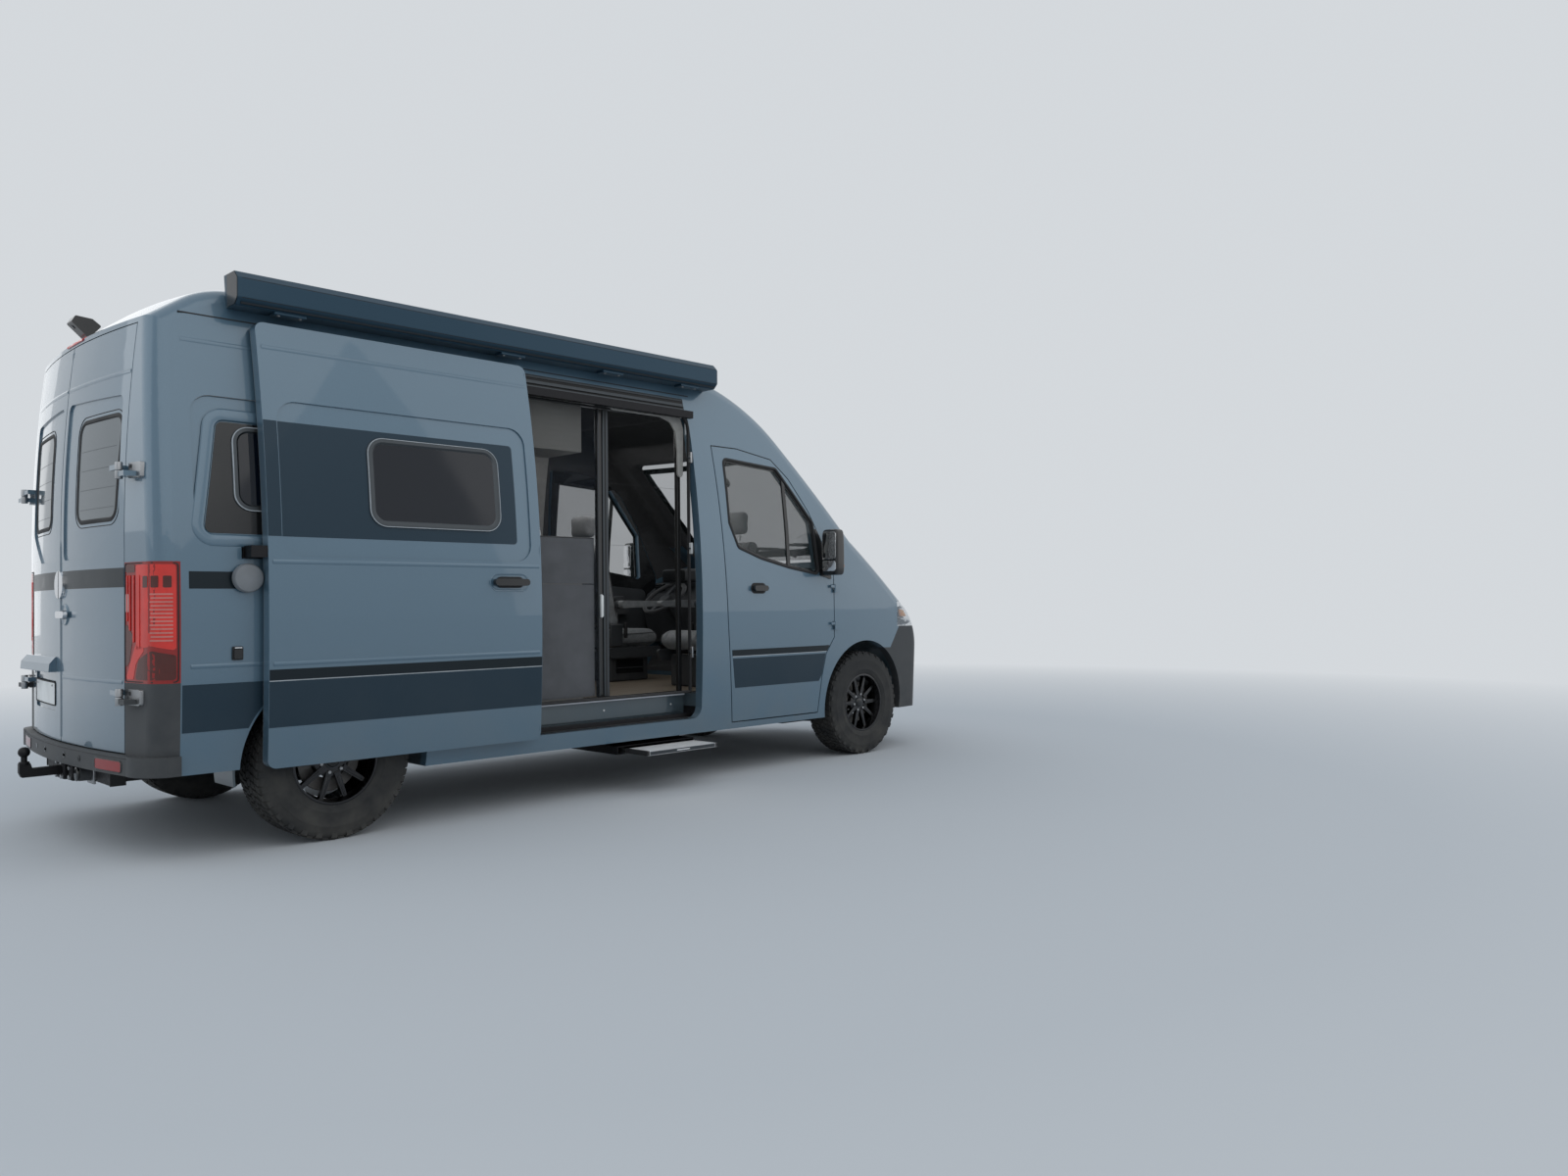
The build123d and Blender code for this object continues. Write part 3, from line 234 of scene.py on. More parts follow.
BODY = (0.087, 0.157, 0.214)
M = {
    "paint": paint("paint_blue_grey", BODY, 0.32),
    "film": paint("film_slate", (0.018, 0.038, 0.056), 0.08, 0.12, 0.25),
    "film_dark": paint("film_black", (0.006, 0.013, 0.018), 0.04, 0.12, 0.25),
    # A darker copy of the body paint: painted shade for the step well and the floor under the vinyl
    "paint_painted_shade": paint("paint_darkened_as_shade", (0.05, 0.078, 0.095), 0.2),
    # Pale lines: painted highlights along the film bands' top edges and on the window frames
    "highlight_line": plastic("painted_highlight_line", (0.42, 0.45, 0.47), 0.35, 300, 0.03),
    "dark_plastic": plastic("plastic_dark_grey", (0.036, 0.04, 0.044), 0.55, dust=0.3),
    "black_gloss": plastic("plastic_black_gloss", (0.012, 0.013, 0.014), 0.18, 300, 0.03),
    "rubber": plastic("rubber_black", (0.014, 0.014, 0.015), 0.7, 500, 0.3),
    "tyre": plastic("tyre_rubber", (0.016, 0.017, 0.018), 0.82, 420, 0.5, dust=0.3),
    "rim": metal("rim_black", (0.022, 0.022, 0.024), 0.32, coat=0.8),
    "chrome": metal("chrome", (0.75, 0.76, 0.78), 0.12),
    "alloy": metal("alloy_brushed", (0.62, 0.63, 0.64), 0.36, (1, 40, 40), 12),
    "alloy_dark": metal("alloy_anthracite", (0.07, 0.078, 0.085), 0.42),
    "steel_black": metal("steel_black", (0.03, 0.03, 0.032), 0.5),
    "cast": metal("steel_cast", (0.16, 0.155, 0.15), 0.62, scale=120),
    "zinc": metal("steel_zinc", (0.36, 0.37, 0.38), 0.38),
    "awning": paint("awning_anthracite", (0.022, 0.055, 0.085), 0.0, 0.05, 0.25),
    "glass_dark": glass("glass_tinted", (0.004, 0.007, 0.013), 0.96),
    # Opaque light grey: closed blinds behind the glass, plus a painted reflection of the bright sky
    "glass_blind_and_sky": glass("glass_over_blind_and_sky_reflection", (0.17, 0.185, 0.19), 1.0, 0.05),
    "glass_cab": glass("glass_clear", (0.03, 0.04, 0.04), 0.34),
    "glass_screen": glass("glass_windscreen", (0.03, 0.04, 0.04), 0.3),
    "lamp_red": glass("lens_red", (0.30, 0.010, 0.008), 1.0, 0.05),
    "lamp_bright": plastic("lens_red_bright", (0.72, 0.035, 0.025), 0.2, 300, 0.04),
    "lamp_smoke": plastic("lens_red_smoked", (0.085, 0.012, 0.008), 0.16, 300, 0.04),
    "lamp_rib": plastic("lens_ribs", (0.62, 0.20, 0.17), 0.25, 300, 0.05),
    "lamp_white": plastic("lens_reversing", (0.66, 0.52, 0.50), 0.2, 300, 0.05),
    "lamp_amber": plastic("lens_amber", (0.6, 0.2, 0.02), 0.2, 300, 0.04),
    "lamp_rib_amber": plastic("lens_ribs_amber", (0.75, 0.34, 0.06), 0.22, 300, 0.05),
    "lamp_lens": plastic("lens_projector", (0.36, 0.41, 0.46), 0.08, 300, 0.02),
    "alu_matt": plastic("aluminium_matt", (0.46, 0.47, 0.50), 0.45, 400, 0.06),
    "lamp_clear": glass("lens_clear", (0.62, 0.66, 0.7), 0.3, 0.04),
    "reflector": metal("reflector", (0.8, 0.81, 0.83), 0.1),
    "plate": plastic("plate_white", (0.78, 0.78, 0.76), 0.4, 200, 0.05),
    "lining_light": cloth("lining_beige", (0.42, 0.40, 0.37), (0.36, 0.345, 0.32), 260),
    "lining": cloth("lining_grey", (0.30, 0.30, 0.29), (0.25, 0.25, 0.245), 260),
    "seat": cloth("seat_cloth", (0.20, 0.21, 0.215), (0.26, 0.27, 0.275), 210),
    "seat_side": cloth("seat_leather", (0.035, 0.037, 0.04), (0.05, 0.052, 0.055), 90, 0.55),
    "bedding": cloth("mattress_cloth", (0.55, 0.53, 0.48), (0.48, 0.46, 0.42), 200),
    "net": mesh_net("net_pleated", (0.022, 0.030, 0.042), 0.40),
    "headliner": cloth("headlining_dark", (0.022, 0.023, 0.025), (0.030, 0.031, 0.033), 260),
    "pillow": cloth("seat_centre_light", (0.30, 0.31, 0.315), (0.36, 0.365, 0.37), 210),
    "floor": wood("floor_vinyl", (0.20, 0.165, 0.125), (0.11, 0.088, 0.065)),
    "front_panel": wood("furniture_front", (0.42, 0.40, 0.36), (0.38, 0.36, 0.325), (2, 2, 30)),
    "carcass": wood("furniture_carcass", (0.17, 0.165, 0.155), (0.13, 0.125, 0.12), (2, 30, 2)),
    "kitchen_grey": plastic("kitchen_panel_grey", (0.30, 0.30, 0.31), 0.5, 200, 0.06),
    "worktop": plastic("worktop_slate", (0.06, 0.06, 0.062), 0.35, 150, 0.1),
    "acrylic": glass("dome_acrylic", (0.5, 0.53, 0.55), 0.5, 0.06),
    "white": plastic("plastic_white", (0.7, 0.7, 0.68), 0.4, 300, 0.06),
    "grey": plastic("plastic_grey", (0.19, 0.2, 0.21), 0.5, 500, 0.15),
}

# Which CAD nodes look like what; the rest is painted, apart from tyres and rims
CAD_LOOK = {
    "dark_plastic": "rear_bumper front_bumper dashboard",
    "black_gloss": "mirror_left mirror_right",
    "steel_black": "underframe front_suspension rear_axle tow_bar door_rails",
    "cast": "engine knuckle_left knuckle_right",
    "alloy": "step",
    "awning": "awning_case",
    "alloy_dark": "flyscreen",
    "glass_dark": "rear_glass_left rear_glass_right",
    "glass_cab": "cab_glass_left cab_glass_right",
    "glass_screen": "windows",
    "lamp_red": "tail_lamps",
    "lamp_clear": "headlamps",
    # The floor node takes the darker copy of the body paint, as painted shade
    "paint_painted_shade": "floor",
    "front_panel": "kitchen cabinets",
    "carcass": "bed_frame",
    "seat": "front_seats",
    "bedding": "mattress",
    "grey": "roof_fittings",
}
LOOK = {n: key for key, names in CAD_LOOK.items() for n in names.split()}
for n, o in nodes.items():
    key = LOOK.get(n, "tyre" if n.startswith("tyre") else "rim" if n.startswith("rim") else "paint")
    o.data.materials.clear()
    o.data.materials.append(M[key])


# Stage: pale floor, soft light and the photo's camera
PALE = (0.66, 0.69, 0.72)
CAMERA_AT, CAMERA_TURN = (-4.3312, -6.1863, 1.1085), (43.589, 0.714, -0.535)
FOCAL_PX, PHOTO_PX = 1143.3, 1600


def seen_rays(t):
    """1 for camera, glossy and transmission rays, so that metal and glass show the pale background too."""
    path = shader(t, "LightPath")
    out = path.outputs["Is Camera Ray"]
    for name in ("Is Glossy Ray", "Is Transmission Ray"):
        out = shader(t, "Math", {0: out, 1: path.outputs[name]}, operation="MAXIMUM").outputs[0]
    return out


def stage():
    bpy.ops.mesh.primitive_plane_add(size=400, location=(0, 0, 0))
    floor = bpy.context.object
    floor.name = "stage_floor"
    m = new_material("stage_pale", (0.60, 0.61, 0.62), 0.9, spec=0.05)
    t = m.node_tree
    far = shader(t, "VectorMath", {0: coords(m)}, operation="LENGTH")
    edge = multiply(m, ramp(m, far.outputs["Value"], 5.0, 13.0, 0.0, 1.0), seen_rays(t))
    glow = shader(t, "Emission", {"Color": (*PALE, 1)}).outputs[0]
    mix = shader(t, "MixShader", {0: edge, 1: t.nodes["Principled BSDF"].outputs[0], 2: glow}).outputs[0]
    feed(t, t.nodes["Material Output"], {"Surface": mix})
    floor.data.materials.append(m)
    world = bpy.data.worlds.new("studio")
    bpy.context.scene.world = world
    world.use_nodes = True
    t = world.node_tree
    sky = t.nodes["Background"]
    feed(t, sky, {"Color": (0.70, 0.82, 0.95, 1), "Strength": 0.55})
    pale = shader(t, "Background", {"Color": (*PALE, 1), "Strength": 1.0})
    mix = shader(t, "MixShader", {0: seen_rays(t), 1: sky.outputs[0], 2: pale.outputs[0]}).outputs[0]
    feed(t, t.nodes["World Output"], {"Surface": mix})
    lamps = (
        ("key", (-3.0, -9.0, 8.5), (0.0, 0.0, 1.0), 13.0, 310.0, (1.0, 0.98, 0.95)),
        ("sky_left", (-9.0, 3.0, 7.5), (-1.0, 0.0, 1.2), 13.0, 310.0, (0.93, 0.97, 1.0)),
        ("front_fill", (8.5, -7.0, 6.0), (1.0, 0.0, 1.0), 11.0, 190.0, (1.0, 0.98, 0.96)),
        ("left_fill", (2.0, 9.0, 6.0), (0.0, 0.0, 1.0), 12.0, 190.0, (1.0, 1.0, 1.0)),
        ("cabin", (0.4, 0.0, 2.3), (0.4, 0.0, 0.0), 1.2, 9.0, (1.0, 1.0, 1.0)),
    )
    for name, at, aim, size, power, color in lamps:
        data = bpy.data.lights.new(name, "AREA")
        data.size = size
        data.energy = power
        data.color = color
        lamp = bpy.data.objects.new(name, data)
        lamp.location = at
        lamp.rotation_euler = (Vector(aim) - Vector(at)).to_track_quat("-Z", "Y").to_euler()
        bpy.context.scene.collection.objects.link(lamp)
    yaw, pitch, roll = (math.radians(a) for a in CAMERA_TURN)
    ahead = Vector((math.cos(yaw) * math.cos(pitch), math.sin(yaw) * math.cos(pitch), math.sin(pitch)))
    right = Vector((math.sin(yaw), -math.cos(yaw), 0))
    up = right.cross(ahead)
    r = right * math.cos(roll) + up * math.sin(roll)
    u = up * math.cos(roll) - right * math.sin(roll)
    data = bpy.data.cameras.new("view")
    data.sensor_width = 36
    data.lens = data.sensor_width * FOCAL_PX / PHOTO_PX
    camera = bpy.data.objects.new("view", data)
    camera.matrix_world = Matrix([(r[i], u[i], -ahead[i], CAMERA_AT[i]) for i in range(3)] + [(0, 0, 0, 1)])
    bpy.context.scene.collection.objects.link(camera)
    bpy.context.scene.camera = camera
    bpy.context.scene.view_settings.view_transform = "Standard"


stage()

# The corners of a block's faces, numbered by their place along three axes in turn
BOX_FACES = ((0, 1, 3, 2), (4, 6, 7, 5), (0, 4, 5, 1), (2, 3, 7, 6), (0, 2, 6, 4), (1, 5, 7, 3))


# Shape helpers
def piece(name, bm, material, body="van_body", bevel=0.0, segments=2, angle=35):
    """The mesh as an object that rides on a body, smooth up to the angle."""
    bmesh.ops.recalc_face_normals(bm, faces=bm.faces)
    me = bpy.data.meshes.new(name)
    bm.to_mesh(me)
    bm.free()
    o = bpy.data.objects.new(name, me)
    bpy.context.scene.collection.objects.link(o)
    me.materials.append(M[material])
    me.polygons.foreach_set("use_smooth", [True] * len(me.polygons))
    if bevel:
        mod = o.modifiers.new("edge", "BEVEL")
        mod.width = bevel
        mod.segments = segments
        mod.limit_method = "ANGLE"
        mod.angle_limit = math.radians(32)
    me.set_sharp_from_angle(angle=math.radians(angle))
    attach(o, body)
    return o


def lining(name, node, material, x_max=9.0, x_min=-9.0):
    """A thin covering on the inward faces of a panel."""
    bm = bmesh.new()
    bm.from_mesh(nodes[node].data)
    bmesh.ops.remove_doubles(bm, verts=bm.verts, dist=1e-5)
    away = []
    low = 0.3 if "door" in node else 0.55
    for f in bm.faces:
        c, n = f.calc_center_median(), f.normal
        inward = Vector((0.0, -c.y, 1.35 - c.z))
        if "rear_door" in node or node == "rear_frame" and abs(c.y) < 0.80:
            inward = Vector((1.0, 0.0, 0.0))
        if node == "sliding_door":
            inward = Vector((0.0, 1.0, 0.0))
        if not (n.dot(inward.normalized()) > 0.45 and c.z > low and x_min < c.x - S < x_max):
            away.append(f)
    bmesh.ops.delete(bm, geom=away, context="FACES")
    for v in bm.verts:
        v.co += v.normal * 0.0015
    bmesh.ops.solidify(bm, geom=bm.faces[:], thickness=0.001)
    return piece(name, bm, material, nodes[node]["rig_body"], angle=50)


def rounded(points, radius, n=6):
    """A polygon with rounded corners; radius is one number or one for each corner."""
    out = []
    count = len(points)
    for i, p in enumerate(points):
        r = radius[i] if isinstance(radius, (list, tuple)) else radius
        a, b, c = Vector(points[i - 1]), Vector(p), Vector(points[(i + 1) % count])
        u, v = (a - b), (c - b)
        half = u.angle(v) / 2
        if r <= 1e-6 or half > 1.56:
            out.append((b.x, b.y))
            continue
        reach = min(r / math.tan(half), u.length * 0.49, v.length * 0.49)
        r = reach * math.tan(half)
        u.normalize()
        v.normalize()
        centre = b + (u + v).normalized() * (r / math.sin(half))
        start, end = b + u * reach - centre, b + v * reach - centre
        sweep = start.angle_signed(end)
        for k in range(n + 1):
            t = -sweep * k / n
            out.append((
                centre.x + start.x * math.cos(t) - start.y * math.sin(t),
                centre.y + start.x * math.sin(t) + start.y * math.cos(t),
            ))
    return out


def grown(points, o):
    """A polygon moved outward by o; points run counter-clockwise."""
    area = sum(points[i - 1][0] * p[1] - p[0] * points[i - 1][1] for i, p in enumerate(points))
    sign = 1 if area > 0 else -1
    out = []
    for i, p in enumerate(points):
        a, b, c = Vector(points[i - 1]), Vector(p), Vector(points[(i + 1) % len(points)])
        d1, d2 = (b - a).normalized(), (c - b).normalized()
        n1, n2 = Vector((d1.y, -d1.x)) * sign, Vector((d2.y, -d2.x)) * sign
        m = (n1 + n2) / max(1 + n1.dot(n2), 0.2)
        out.append((b.x + m.x * o, b.y + m.y * o))
    return out


def box_points(u0, u1, v0, v1):
    return [(u0, v0), (u1, v0), (u1, v1), (u0, v1)]


def pad(u0, u1, v0, v1, radius, n=6):
    return rounded(box_points(u0, u1, v0, v1), radius, n)


def subdivided(points, parts):
    """A closed outline with each side cut into equal parts."""
    return [Vector(points[i - 1]).lerp(Vector(q), k / parts) for i, q in enumerate(points)
            for k in range(1, parts + 1)]


def bridge(bm, loops):
    """Faces between closed loops of vertices."""
    for a, b in zip(loops, loops[1:]):
        for k in range(len(a)):
            bm.faces.new((a[k - 1], a[k], b[k], b[k - 1]))


def capped(bm, loops):
    bridge(bm, loops)
    bm.faces.new(loops[0])
    bm.faces.new(loops[-1])


# The body's surfaces, as in the solids
def side_y(x, z):
    half = 1.010 - (0.032 * (x - 3.2) ** 2 if x > 3.2 else 0.0)
    if z >= 1.05:
        return half - (5.96 - math.sqrt(5.96**2 - (z - 1.05) ** 2))
    t = (1.05 - z) / 0.8
    return half - 0.032 * t * t


def rear_x(y, z):
    t = max((z - 1.3) / 0.55, 0.0)
    x = -0.9 + 0.012 * t + 0.0196 * t * (t - 1) * (t > 0)
    shift = 0.115 - 0.002 * t - 0.0031 * t * (t - 1) * (t > 0)
    return x + shift * (y / 1.06) ** 2


def side_surface(sign, out=0.0):
    return lambda u, v, d: Vector((u + S, sign * (side_y(u, v) + d + out), v))


right, left, slid = side_surface(-1), side_surface(1), side_surface(-1, SLIDE_OUT)
SIDES = (("right", right), ("left", left))
SIGNS = (("left", 1), ("right", -1))


def rear(u, v, d):
    return Vector((rear_x(u, v) + S - d, u, v))


def upright(y):
    return lambda u, v, d: Vector((u + S, y + d, v))


def crosswise(x):
    return lambda u, v, d: Vector((x + S + d, u, v))


def flat(z):
    return lambda u, v, d: Vector((u + S, v, z + d))


def mesh_tree(me):
    return BVHTree.FromPolygons([v.co[:] for v in me.vertices], [p.vertices[:] for p in me.polygons])


def cast(node, axis, sign):
    """The skin of a node, seen along an axis from its sign side; u and v are the other two coordinates."""
    tree = mesh_tree(nodes[node].data)
    way = Vector((0, 0, 0))
    way[axis] = -sign
    last = [Vector((0, 0, 0))]

    def at(u, v, d):
        start = Vector([(0, u, v), (u + S, 0, v), (u + S, v, 0)][axis])
        start[axis] = 9.0 * sign
        hit = tree.ray_cast(start, way)[0]
        if hit is None:
            hit = start.copy()
            hit[axis] = last[0][axis]
        last[0] = hit
        return hit - way * d
    return at


def corner(node, sign):
    """The skin round a rear corner: u is a length along it, 0 at the rear and 0.314 at the side, v the height."""
    x0, y0, radius = -0.703, 0.757, 0.2
    tree = mesh_tree(nodes[node].data)
    low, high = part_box(node)
    last = [Vector((0, 0, 0))]

    def at(u, v, d):
        a = u / radius
        way = Vector((-math.cos(a), sign * math.sin(a), 0))
        z = min(max(v, low.z + 0.003), high.z - 0.003)
        hit = tree.ray_cast(Vector((x0 + S, sign * y0, z)) + way, -way)[0] or last[0]
        last[0] = hit
        return Vector((hit.x, hit.y, v)) + way * d
    return at


def metres(profile):
    return [(a / 1000, b / 1000) for a, b in profile]


def patch(name, outline, surf, d0, d1, material, bevel=0.0, body="van_body", holes=(), step=(0.08, 0.08)):
    """A sheet of even thickness that follows a surface, from depth d0 to d1, with holes."""
    bm = bmesh.new()
    edges = []
    for loop in [outline, *holes]:
        vs = [bm.verts.new((u, v, 0)) for u, v in loop]
        edges += [bm.edges.new((vs[i - 1], vs[i])) for i in range(len(vs))]
    bmesh.ops.triangle_fill(bm, use_beauty=True, use_dissolve=False, edges=edges)
    for axis in (0, 1):
        lo = min(p[axis] for p in outline)
        hi = max(p[axis] for p in outline)
        n = int((hi - lo) / step[axis]) + 1
        for k in range(1, n):
            at, no = [0, 0, 0], [0, 0, 0]
            at[axis], no[axis] = lo + (hi - lo) * k / n, 1
            bmesh.ops.bisect_plane(bm, geom=bm.verts[:] + bm.edges[:] + bm.faces[:], plane_co=at, plane_no=no)
    base = list(bm.verts)
    out = bmesh.ops.extrude_face_region(bm, geom=bm.faces[:])
    top = [g for g in out["geom"] if isinstance(g, bmesh.types.BMVert)]
    for vs, d in ((base, d0), (top, d1)):
        for v in vs:
            v.co = surf(v.co.x, v.co.y, d)
    return piece(name, bm, material, body, bevel)


def loft(name, points, radius, profile, surf, material, n=6, body="van_body", closed=True):
    """A moulding round an outline: profile is (offset outward, depth) for each of its loops."""
    bm = bmesh.new()
    lines = []
    profile = metres(profile)
    for o, d in profile:
        rr = [max(r + o, 0.001) for r in radius] if isinstance(radius, (list, tuple)) else max(radius + o, 0.001)
        lines.append([Vector(p) for p in rounded(grown(points, o), rr, n)])
    parts = [max(int((p - lines[0][i - 1]).length / 0.07), 1) for i, p in enumerate(lines[0])]
    loops = []
    for (o, d), line in zip(profile, lines):
        path = [line[i - 1].lerp(p, (k + 1) / parts[i]) for i, p in enumerate(line) for k in range(parts[i])]
        loops.append([bm.verts.new(surf(p.x, p.y, d)) for p in path])
    bridge(bm, loops + loops[:1] if closed else loops)
    return piece(name, bm, material, body)


def strip(name, line, profile, surf, material, body="van_body"):
    """A moulding along an open line; profile is (offset sideways, depth), closed, with ends."""
    bm = bmesh.new()
    rows = []
    profile = metres(profile)
    for i, p in enumerate(line):
        a, c = Vector(line[max(i - 1, 0)]), Vector(line[min(i + 1, len(line) - 1)])
        d = (c - a).normalized()
        normal = Vector((d.y, -d.x))
        rows.append([bm.verts.new(surf(p[0] + normal.x * o, p[1] + normal.y * o, h)) for o, h in profile])
    capped(bm, rows)
    return piece(name, bm, material, body)


def slab(name, lo, hi, material, bevel=0.002, body="van_body", segments=2):
    """A block with softened edges, lo and hi in rear-axle X."""
    bm = bmesh.new()
    bmesh.ops.create_cube(bm, size=1)
    for v in bm.verts:
        x, y, z = (hi[i] if v.co[i] > 0 else lo[i] for i in range(3))
        v.co = (S + x, y, z)
    return piece(name, bm, material, body, bevel, segments)


def prism(name, outline, surf, d0, d1, material, bevel=0.0, body="van_body"):
    return patch(name, outline, surf, d0, d1, material, bevel, body, (), (9, 9))


def turned(profile, origin, axis, segments=48):
    """A turned shape: profile is (radius, distance along the axis)."""
    bm = bmesh.new()
    q = Vector((0, 0, 1)).rotation_difference(Vector(axis))
    o = Vector((origin[0] + S, origin[1], origin[2]))
    loops = []
    for r, h in metres(profile):
        if r < 1e-6:
            loops.append([bm.verts.new(o + q @ Vector((0, 0, h)))])
            continue
        loops.append([
            bm.verts.new(o + q @ Vector((r * math.cos(a), r * math.sin(a), h)))
            for a in (2 * math.pi * k / segments for k in range(segments))
        ])
    for a, b in zip(loops, loops[1:]):
        for k in range(segments):
            if len(a) == 1 and len(b) == 1:
                continue
            if len(a) == 1:
                bm.faces.new((a[0], b[k], b[k - 1]))
            elif len(b) == 1:
                bm.faces.new((a[k - 1], a[k], b[0]))
            else:
                bm.faces.new((a[k - 1], a[k], b[k], b[k - 1]))
    bmesh.ops.remove_doubles(bm, verts=bm.verts, dist=1e-6)
    return bm


def lathe(name, profile, origin, axis, material, segments=48, body="van_body", angle=35):
    """A turned piece; origin has rear-axle X."""
    return piece(name, turned(profile, origin, axis, segments), material, body, angle=angle)


def tube(name, points, radius, material, sides=4, cyclic=False):
    """A round bar along a path of points in rear-axle X."""
    curve = bpy.data.curves.new(name, "CURVE")
    curve.dimensions = "3D"
    curve.bevel_depth = radius
    curve.bevel_resolution = sides
    curve.use_fill_caps = True
    s = curve.splines.new("POLY")
    s.points.add(len(points) - 1)
    for p, q in zip(s.points, points):
        p.co = (q[0] + S, q[1], q[2], 1)
    s.use_cyclic_u = cyclic
    holder = bpy.data.objects.new(name + "_c", curve)
    bpy.context.scene.collection.objects.link(holder)
    me = bpy.data.meshes.new_from_object(holder.evaluated_get(bpy.context.evaluated_depsgraph_get()))
    bpy.data.objects.remove(holder)
    bm = bmesh.new()
    bm.from_mesh(me)
    bmesh.ops.remove_doubles(bm, verts=bm.verts, dist=1e-6)
    return piece(name, bm, material, angle=50)


def bend(points, radius=0.04, n=6):
    """A 3-D path with its corners rounded."""
    out = [Vector(points[0])]
    for i in range(1, len(points) - 1):
        a, b, c = (Vector(points[i - 1]), Vector(points[i]), Vector(points[i + 1]))
        u, v = (a - b), (c - b)
        reach = min(radius, u.length * 0.45, v.length * 0.45)
        p, q = b + u.normalized() * reach, b + v.normalized() * reach
        for k in range(n + 1):
            t = k / n
            out.append(p * (1 - t) ** 2 + b * 2 * t * (1 - t) + q * t * t)
    out.append(Vector(points[-1]))
    return out


BEAD = [(-10, 0.2), (-6, 1.5), (0, 2.6), (6, 1.5), (10, 0.2), (0, -4)]
SEAL = [(12, -12), (12, 1), (8, 5), (2, 6), (-4, 4), (-7, -2), (-7, -12)]


def film(name, outline, surf, material="film", body="van_body", d=FILM, holes=()):
    """A coloured film with its face d above the surface."""
    return patch(name, outline, surf, d - 0.003, d, material, body=body, holes=holes, step=(0.08, 0.07))


def clipped_band(x_end, z0, z1, sign, radius=0.462, n=10):
    """A band from x_end to the rear wheel arch, ahead of the axle (sign 1) or behind it (-1)."""
    start = math.asin((z0 - AXLE_Z) / radius)
    angles = [start + (math.pi / 2 - start) * k / n for k in range(n + 1)]
    arch = [(sign * radius * math.cos(a), AXLE_Z + radius * math.sin(a)) for a in angles]
    arch = [p for p in arch if p[1] < z1]
    arch.append((sign * math.sqrt(radius**2 - (z1 - AXLE_Z) ** 2), z1))
    return [(x_end, z0)] + arch + [(x_end, z1)] if sign < 0 else [(x_end, z1)] + arch[::-1] + [(x_end, z0)]


# Coloured film on the sides and rear
LOW, MID = (0.568, 0.7745), (0.779, 0.8276)
for (tag, surf), band_end, stripe_end in zip(SIDES, (1.046, 2.446), (-0.375, 2.44)):
    film("band_rear_" + tag, clipped_band(-0.694, *LOW, -1), surf)
    film("band_middle_" + tag, clipped_band(band_end, *LOW, 1), surf)
    film("stripe_rear_" + tag, box_points(-0.667, stripe_end, 1.19, 1.265), surf, "film_dark")
film("line_left", box_points(0.16, 2.446, *MID), left, "film_dark")
film("band_slide", box_points(-0.3625, 1.068, *LOW), slid)
film("line_slide", box_points(-0.3625, 1.068, *MID), slid, "film_dark")
# A pale strip along the band's top edge: a painted highlight
film("slide_band_highlight", box_points(-0.3625, 1.068, 0.7748, 0.7787), slid, "highlight_line")
film("window_band_slide", pad(-0.298, 0.929, 1.4255, 1.952, [0.001, 0.02, 0.02, 0.001]), slid, d=FILM - RECESS,
     holes=[pad(0.128, 0.838, 1.498, 1.918, 0.07)])
film("window_band_slide_edge", box_points(-0.3625, -0.303, 1.4255, 1.952), slid)
for tag, surf in SIDES:
    panel = [(-0.60, 1.435), (0.86, 1.435), (0.86, 1.935), (-0.53, 1.935)]
    hole = pad(-0.458, 0.248, 1.552, 1.908, 0.06)
    patch("quarter_panel_" + tag, rounded(panel, 0.03), surf, -RECESS - 0.002, -RECESS + 0.003, "black_gloss",
          holes=[hole])
    loft("quarter_frame_" + tag, panel, 0.035, [(60, -2), (57, 2), (50, 4.5), (18, 4.5), (10, 2), (4, -6)], surf,
         "paint", 8)
patch("front_panel_left", pad(1.03, 2.54, 1.435, 1.952, 0.03), left, -RECESS - 0.002, -RECESS + 0.0015, "black_gloss",
      holes=[pad(1.422, 2.158, 1.492, 1.938, 0.07)])
for tag, sign in SIGNS:
    film("stripe_door_" + tag, box_points(*sorted((sign * 0.006, sign * 0.744)), 1.2, 1.285), rear, "film_dark",
         "door_rear_" + tag)

